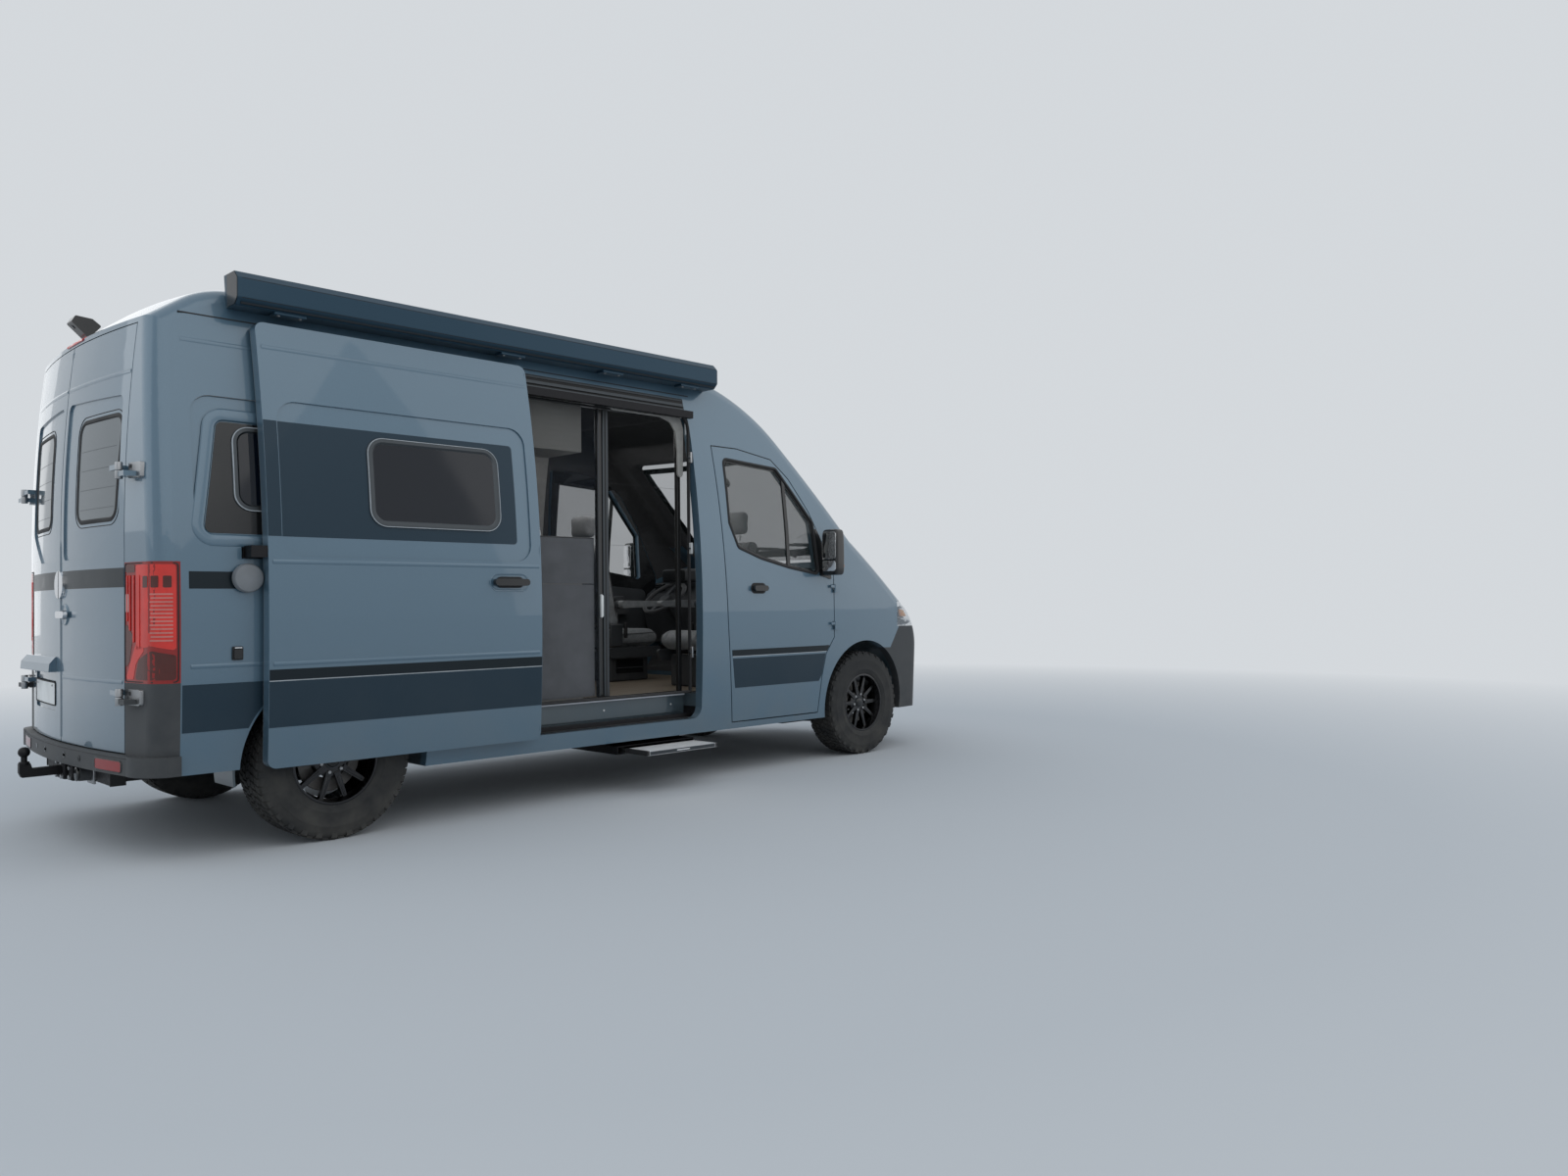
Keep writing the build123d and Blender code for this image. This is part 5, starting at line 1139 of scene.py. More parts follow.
# The groove is a black slab proud of the bar: painted shade in place of a recess
slab("screen_lock_groove_shade", (1.706, -0.8165, 0.56), (1.716, -0.815, 2.262), "rubber", 0.0005)
prism("screen_handle", rounded([(1.664, 1.02), (1.682, 1.035), (1.682, 1.155), (1.664, 1.17)], 0.006),
      upright(-0.8155), -0.014, 0.0, "white", 0.003)
for k in range(5):
    z = 0.72 + 0.37 * k
    tube("screen_string_%d" % k, [(1.734, NET_Y, z), (2.276, NET_Y, z)], 0.0006, "rubber", 2)

for k in range(10):
    y = -1.158 + 0.019 * k
    slab("step_rib_%d" % k, (1.745, y, 0.2555), (2.255, y + 0.01, 0.258), "alloy", 0.001, "entry_step")
for k, x in enumerate((1.7265, 2.2545)):
    slab("step_end_%d" % k, (x, -1.1705, 0.2295), (x + 0.019, -0.97, 0.2585), "rubber", 0.004, "entry_step")
slab("step_nose", (1.746, -1.1715, 0.233), (2.254, -1.166, 0.2535), "alloy_dark", body="entry_step")
slab("step_light", (1.95, -1.1719, 0.24), (2.05, -1.1705, 0.247), "white", 0.0005, "entry_step")

# Inside: vinyl floor, window frame, linings and ceiling lights
patch("vinyl_floor", box_points(0.48, 3.36, -0.785, 0.9), flat(0.5402), 0.0, 0.0022, "floor", step=(0.6, 0.5))
loft("left_inner_frame", box_points(1.42, 2.16, 1.49, 1.94), 0.07,
     [(30, -61.5), (28, -78), (4, -82), (-4, -76), (-4, -61.5)], left, "white", 8)
CEILING = cast("roof", 2, -1)
for name, node, material, front_x in (
    ("wall_left_lining", "side_left", "lining", 9), ("wall_right_lining", "side_right", "lining", 9),
    ("ceiling_lining", "roof", "lining", CAB_REAR_X), ("rear_frame_lining", "rear_frame", "lining", 9),
    ("cab_lining", "cab_frame", "headliner", 3.95), ("cab_card_left", "cab_door_left", "black_gloss", 9),
    ("cab_card_right", "cab_door_right", "black_gloss", 9), ("rear_card_left", "rear_door_left", "lining", 9),
    ("rear_card_right", "rear_door_right", "lining", 9), ("slide_card", "sliding_door", "lining", 9),
):
    lining(name, node, material, front_x)
lining("ceiling_cab", "roof", "headliner", 9, CAB_REAR_X)
for k, y in enumerate((-0.55, 0.55)):
    strip("ceiling_light_%d" % k, [(0.5 + 0.3 * i, y) for i in range(7)], [(-6, 6), (-6, 13), (6, 13), (6, 6)],
          CEILING, "white")

# Kitchen: panels, drawers, worktop edge, sink, tap, hob
for name, x0, x1, z0, z1 in (
    ("low", 1.066, 1.644, 0.562, 1.222), ("high", 1.066, 1.644, 1.227, 1.492), ("back", 0.476, 1.062, 0.562, 1.492),
):
    patch("kitchen_outer_" + name, pad(x0, x1, z0, z1, 0.004), upright(-0.7852), -0.002, 0.006, "kitchen_grey",
          0.0008, step=COARSE)
slab("kitchen_upstand_edge", (1.066, -0.787, 1.492), (1.644, -0.777, 1.5), "carcass")
patch("kitchen_end", pad(-0.775, -0.345, 0.63, 1.292, 0.004), crosswise(1.5595), -0.002, 0.0035, "kitchen_grey",
      0.001, step=COARSE)
drawers = upright(-0.33)
for col, (x0, x1) in enumerate(((0.478, 0.835), (0.840, 1.195), (1.200, 1.552))):
    rows = ((0.63, 0.845), (0.850, 1.065), (1.070, 1.290)) if col < 2 else ((0.63, 1.065), (1.070, 1.290))
    for row, (z0, z1) in enumerate(rows):
        tags, mid = "%d_%d" % (col, row), (x0 + x1) / 2
        patch("drawer_" + tags, pad(x0, x1, z0, z1, 0.005), drawers, 0.0, 0.011, "front_panel", 0.002, step=COARSE)
        patch("drawer_pull_" + tags, pad(mid - 0.045, mid + 0.045, z1 - 0.034, z1 - 0.018, 0.007), drawers, 0.01,
              0.0175, "alloy", 0.002, step=COARSE)
slab("kitchen_plinth", (0.474, -0.378, FLOOR_Z), (1.556, -0.3715, 0.618), "black_gloss", 0.001)
slab("worktop_edge", (0.474, -0.3185, 1.3015), (1.571, -0.3165, 1.3285), "alloy", 0.0008)
sink, hob = box_points(1.15, 1.45, -0.69, -0.42), box_points(0.60, 1.04, -0.70, -0.40)
patch("worktop_skin", pad(0.472, 1.57, -0.784, -0.32, 0.008), flat(WORKTOP_Z), 0.0, 0.0016, "worktop",
      holes=[rounded(sink, 0.05), rounded(hob, 0.025)], step=(0.4, 0.4))
loft("sink_bowl", sink, 0.05, [(12, 1.8), (10, 3.5), (-2, 3), (-6, -4), (-12, -120), (-30, -132), (-120, -134)],
     flat(WORKTOP_Z), "alloy", 8, closed=False)
lathe("sink_drain", [(0, 4), (18, 4), (24, 2), (25, 0)], (1.3, -0.555, 1.197), (0, 0, 1), "chrome", 28)
tube("tap", bend([(1.3, -0.735, 1.331), (1.3, -0.735, 1.56), (1.3, -0.62, 1.575), (1.3, -0.585, 1.52)], 0.05), 0.009,
     "chrome")
lathe("tap_base", [(9.5, 20), (18, 18), (22, 0)], (1.3, -0.735, 1.3315), (0, 0, 1), "chrome", 28)
tube("tap_lever", [(1.315, -0.735, 1.4), (1.365, -0.735, 1.415)], 0.005, "chrome")
loft("hob_frame", hob, 0.025, [(6, 1.7), (4, 4), (-4, 3.5), (-7, -6)], flat(WORKTOP_Z), "alloy", closed=False)
patch("hob_glass", pad(0.604, 1.036, -0.696, -0.404, 0.02), flat(1.318), 0.0, 0.004, "black_gloss", 0.001,
      step=(0.3, 0.3))
for k, x in enumerate((0.71, 0.93)):
    lathe("burner_%d" % k, [(0, 12), (26, 11), (30, 8), (30, 4), (42, 2), (45, 0)], (x, -0.55, 1.322), (0, 0, 1),
          "steel_black", 32)
    for j in range(2):
        a = math.pi / 2 * j + 0.78
        dx, dy = 0.085 * math.cos(a), 0.085 * math.sin(a)
        tube("burner_bar_%d_%d" % (k, j), [(x - dx, -0.55 - dy, 1.323), (x - dx, -0.55 - dy, 1.342),
                                           (x + dx, -0.55 + dy, 1.342), (x + dx, -0.55 + dy, 1.323)], 0.003,
             "steel_black", 2)
for k in range(4):
    lathe("hob_knob_%d" % k, [(0, 14), (11, 13), (14, 10), (15, 0)], (0.66 + 0.1 * k, -0.42, 1.322), (0, 0, 1),
          "alloy_dark", 20)

# Soft goods: cloth under pressure, then seams
CLOTH_FRAMES = 20


def inflate(o, voxel, cap):
    """A closed shape blown up as cloth, no point further than cap."""
    bpy.context.view_layer.objects.active = o
    for other in bpy.context.selected_objects:
        other.select_set(False)
    o.select_set(True)
    mod = o.modifiers.new("remesh", "REMESH")
    mod.mode = "VOXEL"
    mod.voxel_size = voxel
    bpy.ops.object.modifier_apply(modifier="remesh")
    start = [v.co.copy() for v in o.data.vertices]
    fabric = o.modifiers.new("cloth", "CLOTH")
    fabric.settings.use_pressure = True
    fabric.settings.uniform_pressure_force = 4.0
    fabric.settings.quality = 4
    fabric.settings.mass = 0.3
    fabric.settings.tension_stiffness = 12
    fabric.settings.effector_weights.gravity = 0
    fabric.point_cache.frame_start = 1
    fabric.point_cache.frame_end = CLOTH_FRAMES
    for f in range(1, CLOTH_FRAMES + 1):
        bpy.context.scene.frame_set(f)
    bpy.ops.object.modifier_apply(modifier="cloth")
    bpy.context.scene.frame_set(1)
    for v, a in zip(o.data.vertices, start):
        move = v.co - a
        if move.length > cap:
            v.co = a + move.normalized() * cap
    sub = o.modifiers.new("smooth", "SUBSURF")
    sub.levels = sub.render_levels = 1
    bpy.ops.object.modifier_apply(modifier="smooth")


def groove(o, distance, depth, width):
    """A sewn channel where distance(point) is near nought."""
    bm = bmesh.new()
    bm.from_mesh(o.data)
    bm.normal_update()
    moves = []
    for v in bm.verts:
        d = distance(v.co)
        moves.append(depth * math.exp(-((d / width) ** 2)) if abs(d) < 3 * width else 0.0)
    for v, m in zip(bm.verts, moves):
        v.co -= v.normal * m
    bm.to_mesh(o.data)
    bm.free()


def soft(name, outline, y0, y1, round_off, material, voxel=0.010, shrink=0.012, cap=0.022, n=6):
    """A pad from a side outline in (X, z) and its two sides, blown up as cloth."""
    points = rounded(grown(outline, -shrink), round_off)
    bm = bmesh.new()
    rows = [y0 + shrink + (y1 - y0 - 2 * shrink) * k / n for k in range(n + 1)]
    capped(bm, [[bm.verts.new((u + S, y, v)) for u, v in points] for y in rows])
    bmesh.ops.recalc_face_normals(bm, faces=bm.faces)
    edges = [e for e in bm.edges if e.is_manifold and e.calc_face_angle() > 1.2]
    bmesh.ops.bevel(bm, geom=edges, offset=min(round_off, 0.03), segments=4, affect="EDGES", profile=0.5)
    o = piece(name, bm, material, angle=180)
    inflate(o, voxel, cap)
    o.data.polygons.foreach_set("use_smooth", [True] * len(o.data.polygons))
    return o


def piping(name, o, points, radius, material):
    """A cord sewn on a pad: each point is brought to its surface."""
    tree = mesh_tree(o.data)
    line = []
    for q in points:
        hit = tree.find_nearest(Vector((q[0] + S, q[1], q[2])))
        line.append(hit[0] + hit[1] * radius * 0.3 - Vector((S, 0, 0)))
    return tube(name, line, radius, material, 2, cyclic=True)


# Side outlines of a seat: length forward from the foot of its back, and height
CUSHION = [(0.045, 0.795), (0.54, 0.80), (0.545, 0.915), (0.04, 0.90)]
BACK = [(0.06, 0.905), (0.18, 0.905), (0.062, 1.56), (-0.058, 1.56)]
HEAD = [(0.04, 1.575), (0.05, 1.755), (-0.058, 1.755), (-0.053, 1.575)]
SEATS = (("driver", 0.48, FRONT_AXLE - 1.42, 1), ("passenger", -0.48, FRONT_AXLE - 0.83, -1))
for tag, cy, back_x, way in SEATS:
    def at(points, back_x=back_x, way=way):
        line = [(back_x + way * d, z) for d, z in points]
        return line if way > 0 else line[::-1]
    cushion = soft("seat_cushion_" + tag, at(CUSHION), cy - 0.238, cy + 0.238, 0.045, "seat")
    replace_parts(cushion, "front_seats")
    back = soft("seat_back_" + tag, at(BACK), cy - 0.232, cy + 0.232, 0.045, "seat")
    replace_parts(back, "front_seats")
    head = soft("seat_head_" + tag, at(HEAD), cy - 0.128, cy + 0.128, 0.035, "pillow", voxel=0.008, cap=0.014)
    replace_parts(head, "front_seats")
    for side in (-1, 1):
        groove(cushion, lambda q, side=side: (q.y - cy - side * 0.150) if q.z > 0.86 else 1, 0.010, 0.007)
        groove(back, lambda q, side=side: (q.y - cy - side * 0.145), 0.009, 0.007)
    for d in (0.20, 0.36):
        groove(cushion, lambda q, d=d: q.x - S - back_x - way * d if abs(q.y - cy) < 0.148 and q.z > 0.86 else 1,
               0.006, 0.005)
    for z in (1.08, 1.24, 1.40):
        groove(back, lambda q, z=z: (q.z - z) if abs(q.y - cy) < 0.143 else 1, 0.006, 0.005)
    for side in (-1, 1):
        tags = "%s_%d" % (tag, side + 1)
        line = rounded(at(CUSHION), 0.045)
        piping("cushion_piping_" + tags, cushion, [(u, cy + side * 0.226, v) for u, v in line], 0.0035, "seat_side")
        line = subdivided(rounded(at(BACK), 0.045), 4)
        piping("back_piping_" + tags, back, [(q.x, cy + side * 0.220, q.y) for q in line], 0.0035, "seat_side")
        valance = rounded(at([(0.05, 0.715), (0.50, 0.715), (0.53, 0.792), (0.04, 0.792)]), 0.02)
        prism("seat_valance_" + tags, valance, upright(cy + min(side * 0.215, side * 0.238)), 0, 0.023,
              "dark_plastic", 0.006)
        post = [(back_x - way * 0.002, cy + side * 0.06, 1.54), (back_x - way * 0.005, cy + side * 0.06, 1.60)]
        tube("head_post_" + tags, post, 0.006, "chrome")
        arm = rounded(at([(0.115, 1.075), (0.46, 1.085), (0.47, 1.125), (0.115, 1.13)]), 0.02)
        o = prism("armrest_" + tags, arm, upright(cy + side * 0.268), -0.026, 0.026, "seat", 0.014)
        lathe("arm_hinge_" + tags, [(0, 34), (26, 34), (30, 30), (30, 0)],
              (back_x + way * 0.135, cy + side * 0.212, 1.1), (0, side, 0), "dark_plastic", 24)
        x0, x1 = sorted((back_x + way * 0.05, back_x + way * 0.16))
        y = cy + side * 0.236
        slab("recliner_" + tags, (x0, y - 0.008, 0.8), (x1, y + 0.008, 0.96), "dark_plastic", 0.007)
    lathe("seat_swivel_" + tag, [(0, 0), (185, 0), (190, -4), (190, -16), (170, -20), (0, -20)],
          (back_x + way * 0.27, cy, 0.792), (0, 0, 1), "steel_black")
    lathe("seat_swivel_low_" + tag, [(0, 0), (175, 0), (178, -4), (178, -12), (0, -12)],
          (back_x + way * 0.27, cy, 0.769), (0, 0, 1), "zinc")
    xs = sorted((back_x + way * 0.095, back_x + way * 0.445))
    pedestal = slab("seat_pedestal_" + tag, (xs[0], cy - 0.178, FLOOR_Z), (xs[1], cy + 0.178, 0.757), "dark_plastic",
                    0.012, segments=3)
    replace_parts(pedestal, "front_seats")
    for side in (-1, 1):
        vent = pad(xs[0] + 0.05, xs[1] - 0.05, 0.6, 0.7, 0.012)
        patch("pedestal_panel_%s_%d" % (tag, side + 1), vent, upright(cy + side * 0.178), -0.003, 0.003,
              "black_gloss", 0.001, step=(1, 1))
    shell = rounded([(cy - 0.20, 0.96), (cy + 0.20, 0.96), (cy + 0.185, 1.50), (cy - 0.185, 1.50)], 0.04)

    def behind_back(u, v, d, back_x=back_x, way=way):
        return Vector((back_x + way * (0.057 - 0.1795 * (v - 0.905) - d) + S, u, v))
    patch("seat_shell_" + tag, shell, behind_back, 0.002, 0.016, "dark_plastic", 0.006, step=(0.1, 0.1))
    belt_y = cy + (0.262 if cy < 0 else -0.262)
    slab("belt_buckle_" + tag, (back_x + way * 0.17 - 0.012, belt_y - 0.01, 0.86),
         (back_x + way * 0.17 + 0.012, belt_y + 0.01, 0.97), "rubber", 0.005)

mattress = soft("mattress_pad", box_points(-0.735, 0.398, 1.083, 1.196), -0.845, 0.845, 0.04, "bedding", voxel=0.02,
                shrink=0.01)
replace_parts(mattress, "mattress")
for y in (-0.42, 0.0, 0.42):
    groove(mattress, lambda q, y=y: (q.y - y) if q.z > 1.15 else 1, 0.010, 0.014)
for x in (-0.36, 0.02):
    groove(mattress, lambda q, x=x: (q.x - S - x) if q.z > 1.15 else 1, 0.010, 0.014)
for k, z in enumerate((1.095, 1.186)):
    line = subdivided(pad(-0.725, 0.388, -0.835, 0.835, 0.05), 10)
    piping("mattress_piping_%d" % k, mattress, [(q.x, q.y, z) for q in line], 0.004, "lining")

# Cab: steering wheel, dashboard details, door cards, armrests and mirrors
centre, lean = (FRONT_AXLE - 0.66, 0.48, 1.15), (0.62, 0, -0.78)
circle = [(175 + 16.5 * math.cos(a), 16.5 * math.sin(a)) for a in (2 * math.pi * k / 14 for k in range(15))]
lathe("steering_cover", circle, centre, lean, "seat_side", 72, angle=60)
lathe("steering_boss", [(0, -12), (30, -10), (46, -2), (50, 12), (50, 30)], centre, lean, "dark_plastic", 32)
for k, (y, w) in enumerate(((-0.16, 0.115), (0.08, 0.115), (-0.70, 0.10), (0.72, 0.10))):
    slab("dash_vent_%d" % k, (3.412, y - w / 2, 1.205), (3.436, y + w / 2, 1.268), "black_gloss", 0.008)
    for j in range(4):
        slab("dash_fin_%d_%d" % (k, j), (3.407, y - w / 2 + 0.008, 1.213 + 0.0135 * j),
             (3.418, y + w / 2 - 0.008, 1.217 + 0.0135 * j), "alloy_dark", 0.001)
slab("dash_screen", (3.395, -0.155, 1.285), (3.412, 0.105, 1.43), "black_gloss", 0.006)
slab("dash_screen_foot", (3.405, -0.06, 1.24), (3.45, 0.01, 1.3), "dark_plastic", 0.006)
slab("instrument_hood", (3.36, 0.33, 1.27), (3.52, 0.63, 1.375), "dark_plastic", 0.022, segments=3)
patch("instrument_glass", pad(0.35, 0.61, 1.285, 1.362, 0.015), crosswise(3.358), -0.002, 0.004, "black_gloss", 0.001)
patch("glove_lid", pad(-0.7, -0.26, 0.93, 1.075, 0.02), crosswise(3.36), -0.006, 0.0, "dark_plastic", 0.002)
MIRROR_ROWS = ((1.292, 0.7), (1.297, 0.86), (1.312, 0.955), (1.34, 0.99), (1.42, 1.0), (1.5, 0.995), (1.56, 0.97),
               (1.588, 0.92), (1.601, 0.82), (1.606, 0.62))
for tag, sign, surf in (("left", 1, left), ("right", -1, right)):
    body = "door_front_" + tag
    panel = rounded([(2.60, 0.44), (3.36, 0.44), (3.44, 0.80), (3.44, 1.22), (2.66, 1.28)], 0.05)
    patch("door_card_" + tag, panel, surf, -0.08, -0.0625, "dark_plastic", 0.006, body)
    pocket = rounded([(2.70, 0.47), (3.30, 0.47), (3.36, 0.62), (2.68, 0.62)], 0.03)
    patch("door_pocket_" + tag, pocket, surf, -0.125, -0.079, "black_gloss", 0.012, body)
    rest = rounded([(2.72, 0.985), (3.22, 1.03), (3.22, 1.075), (2.72, 1.045)], 0.018)
    o = patch("door_armrest_" + tag, rest, surf, -0.135, -0.078, "seat_side", 0.014, body)
    lathe("door_speaker_" + tag, [(0, 4), (55, 4), (62, 8), (70, 6), (72, 0)],
          (3.2, sign * (side_y(3.2, 0.8) - 0.08), 0.78), (0, -sign, 0), "black_gloss", 36, body)
    patch("door_pull_" + tag, pad(3.1, 3.21, 1.135, 1.165, 0.014), surf, -0.096, -0.078, "chrome", 0.005, body)

    plan = rounded([(3.381, sign * 1.037), (3.405, sign * 1.17), (3.492, sign * 1.166), (3.526, sign * 1.047)], 0.022,
                   8)
    bm = bmesh.new()
    cx, cy = 3.452, sign * 1.105
    capped(bm, [[bm.verts.new((cx + (u - cx) * k + S, cy + (v - cy) * k, z)) for u, v in plan]
                for z, k in MIRROR_ROWS])
    mirror = piece("mirror_shell_" + tag, bm, "black_gloss", body, angle=50)
    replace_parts(mirror, "mirror_" + tag)
    arm = [(3.425, sign * 0.985), (3.515, sign * 0.985), (3.510, sign * 1.05), (3.440, sign * 1.05)]
    prism("mirror_arm_" + tag, rounded(arm, 0.01), flat(1.292), 0, 0.042, "black_gloss", 0.008, body)

    def face(u, v, d, tree=mesh_tree(mirror.data), way=1.0):
        hit = tree.ray_cast(Vector((-9.0 * way, u, v)), Vector((way, 0, 0)))[0]
        return (hit or Vector((3.40 + S, u, v))) - Vector((d * way, 0, 0))
    for name, z0, z1, radius in (("glass", 1.4, 1.588, 0.02), ("wide", 1.318, 1.388, 0.018)):
        patch("mirror_%s_%s" % (name, tag), pad(sign * 1.05, sign * 1.158, z0, z1, radius), face, -0.002, 0.0025,
              "reflector", 0.001, body)

    def fore(u, v, d, face=face):
        return face(u, v, d, way=-1.0)
    patch("mirror_signal_" + tag, pad(sign * 1.085, sign * 1.16, 1.345, 1.362, 0.007), fore, -0.001, 0.003,
          "lamp_amber", body=body)

# Front: grille, intake, blank plate, sensors, headlamps, fog lamps and bonnet beads
NOSE = ((0.32, 4.915), (0.42, 4.915), (0.56, 4.92), (0.64, 4.929), (0.7, 4.935), (0.76, 4.9395), (0.84, 4.937),
        (0.9, 4.925), (0.96, 4.898), (1.0, 4.869))


def nose(u, v, d):
    """The front skin over its openings; u is y."""
    x = NOSE[-1][1]
    for (z0, x0), (z1, x1) in zip(NOSE, NOSE[1:]):
        if v <= z1:
            x = x0 + (x1 - x0) * (max(v, z0) - z0) / (z1 - z0)
            break
    return Vector((x + S - 0.4 * u * u + d, u, v))


def cells(name, boxes, surf, material, bevel=0.0):
    """Small blocks (u0, u1, v0, v1, d0, d1) on a surface, as one piece."""
    bm = bmesh.new()
    for u0, u1, v0, v1, d0, d1 in boxes:
        box_faces(bm, [surf(u, v, d) for u in (u0, u1) for v in (v0, v1) for d in (d0, d1)])
    return piece(name, bm, material, bevel=bevel)


for k, z in enumerate((0.740, 0.830, 0.920)):
    posts = [(-0.507 + 0.026 * i, -0.502 + 0.026 * i, z + 0.001, z + 0.054, -0.04, -0.022) for i in range(40)]
    bars = [(-0.508 + 0.127 * i, -0.381 + 0.127 * i, z + 0.025, z + 0.029, -0.038, -0.024) for i in range(8)]
    cells("grille_mesh_%d" % k, posts + bars, nose, "black_gloss")
    blade = [(-6, -18), (-7, -4), (-3, 0.5), (3, 0.5), (7, -4), (6, -18)]
    for side in (-1, 1):
        strip("grille_blade_%d_%d" % (k, side + 1), [(side * (0.1 + 0.05 * i), z + 0.046) for i in range(9)], blade,
              nose, "alloy_dark")
loft("grille_frame", box_points(-0.552, 0.552, 0.712, 0.998), 0.05, [(12, -4), (10, 3), (2, 3.5), (-4, -1), (-4, -6)],
     nose, "black_gloss", 8)
lathe("grille_disc", [(0, 4.5), (64, 3.5), (68, 0), (72, 3), (78, 4.8), (84, 2), (86, -6), (86, -30)],
      (4.9375, 0.0, 0.857), (1, 0, 0), "chrome", 64)
lathe("grille_disc_face", [(0, 5.2), (60, 4.5), (64, 3), (0, 3)], (4.9375, 0.0, 0.857), (1, 0, 0), "black_gloss", 64)
posts = [(-0.425 + 0.034 * i, -0.419 + 0.034 * i, 0.431, 0.559, -0.045, -0.02) for i in range(26)]
bars = [(-0.428 + 0.107 * i, -0.321 + 0.107 * i, z, z + 0.008, -0.045, -0.016) for i in range(8)
        for z in (0.47, 0.512)]
cells("intake_mesh", posts + bars, nose, "black_gloss")
loft("intake_frame", box_points(-0.428, 0.428, 0.432, 0.558), 0.02, [(14, -3), (12, 3), (3, 3), (-3, -4)], nose,
     "black_gloss")
PLATE = box_points(-0.26, 0.26, 0.595, 0.705)
patch("front_plate_carrier", pad(-0.266, 0.266, 0.588, 0.712, 0.01), crosswise(4.897), 0.0, 0.038, "black_gloss",
      0.003, step=(9, 9))
patch("front_plate", rounded(PLATE, 0.008), crosswise(4.9385), -0.003, 0.001, "plate", 0.001, step=(9, 9))
loft("front_plate_rim", PLATE, 0.008, [(3, -4), (2, 4), (-3, 4), (-4, 0)], crosswise(4.9385), "rubber")
FRONT = cast("front_bumper", 0, 1)
for k, y in enumerate((-0.62, -0.33, 0.33, 0.62)):
    patch("front_sensor_%d" % k, pad(y - 0.014, y + 0.014, 0.396, 0.424, 0.0138, 8), FRONT, -0.002, 0.0025,
          "black_gloss", 0.001)
# The groove is a raised black strip: painted shade in place of a recess
strip("front_groove_shade", [(-0.86 + 0.086 * i, 0.378) for i in range(21)], [(-3, -2), (-2, 1), (2, 1), (3, -2)], FRONT,
      "rubber")


def lamp_surface(sign):
    """The skin of a headlamp, seen along its own slanting axis; u runs outward from its inner end."""
    tree = mesh_tree(nodes["headlamps"].data)
    way = Vector((0.647, sign * 0.763, 0))
    last = [Vector((4.6 + S, 0.8 * sign, 1.0))]

    def at(u, v, d):
        start = Vector((4.79 + S - 0.763 * u, sign * (0.575 + 0.647 * u), v)) + way * 2
        hit = tree.ray_cast(start, -way)[0] or start + way * (last[0] - start).dot(way)
        last[0] = hit
        return hit + way * d
    return at


BONNET = cast("bonnet", 2, 1)
for tag, sign in SIGNS:
    lamp_skin = lamp_surface(sign)
    inner = [(0.065, 0.917), (0.27, 0.92), (0.4, 0.942), (0.555, 0.958), (0.555, 1.085), (0.4, 1.072), (0.22, 1.05),
             (0.125, 1.022)]
    patch("lamp_housing_" + tag, rounded(inner, 0.015), lamp_skin, -0.048, -0.044, "black_gloss", step=(0.04, 0.04))
    guide = [(0.085, 0.922), (0.28, 0.927), (0.4, 0.95), (0.545, 0.966), (0.545, 0.978), (0.4, 0.962), (0.28, 0.939),
             (0.095, 0.934)]
    patch("lamp_guide_low_" + tag, rounded(guide, 0.004), lamp_skin, -0.02, -0.006, "plate", 0.002, step=(0.03, 0.05))
    guide = [(0.40, 1.052), (0.545, 1.064), (0.545, 1.075), (0.40, 1.063), (0.23, 1.040), (0.235, 1.030)]
    patch("lamp_guide_high_" + tag, rounded(guide, 0.004), lamp_skin, -0.022, -0.008, "plate", 0.002,
          step=(0.03, 0.05))
    patch("lamp_turn_" + tag, pad(0.435, 0.54, 0.99, 1.045, 0.012), lamp_skin, -0.036, -0.024, "lamp_amber", 0.003,
          step=(0.03, 0.05))
    cells("lamp_turn_ribs_" + tag, [(0.44 + 0.012 * i, 0.446 + 0.012 * i, 0.994, 1.041, -0.026, -0.02)
                                    for i in range(8)], lamp_skin, "lamp_rib_amber")
    for k, (u, v, r) in enumerate(((0.185, 0.985, 40), (0.325, 0.998, 36))):
        p = lamp_skin(u, v, 0.0)
        way = (0.70, sign * 0.714, 0)
        at = (p.x - S, p.y, p.z)
        bezel = [(r, -46), (r, -22), (r - 3, -18), (r - 6, -20), (r - 10, -34), (r - 10, -46)]
        lathe("lamp_bezel_%s_%d" % (tag, k), bezel, at, way, "reflector", 40)
        lens = [(0, -19), (r * 0.35, -21), (r * 0.6, -26), (r - 11, -34), (r - 11, -46)]
        lathe("lamp_projector_%s_%d" % (tag, k), lens, at, way, "lamp_lens", 40)
    fog = box_points(sign * 0.60, sign * 0.76, 0.452, 0.548)
    patch("fog_pocket_" + tag, rounded(fog, 0.03), FRONT, -0.002, 0.0012, "black_gloss", step=(0.04, 0.04))
    loft("fog_frame_" + tag, fog, 0.03, [(8, -2), (6, 4), (0, 5), (-6, 1.5)], FRONT, "dark_plastic", closed=False)
    patch("fog_lens_" + tag, pad(sign * 0.645, sign * 0.715, 0.465, 0.535, 0.0345, 10), FRONT, -0.001, 0.0035,
          "lamp_lens", 0.0015, step=(0.03, 0.03))
    cells("fog_ribs_" + tag, [(sign * 0.652, sign * 0.708, 0.48 + 0.013 * i, 0.486 + 0.013 * i, 0.003, 0.0048)
                              for i in range(4)], FRONT, "reflector")
    strip("bonnet_bead_" + tag, [(4.13, sign * 0.5), (4.25, sign * 0.475), (4.37, sign * 0.445), (4.49, sign * 0.41),
                                 (4.61, sign * 0.37), (4.73, sign * 0.325)], [(o * 1.6, h * 1.7) for o, h in BEAD],
          BONNET, "paint", "bonnet_lid")
    patch("washer_" + tag, pad(4.135, 4.16, sign * 0.26, sign * 0.29, 0.006), BONNET, -0.001, 0.006, "black_gloss",
          0.002, "bonnet_lid")

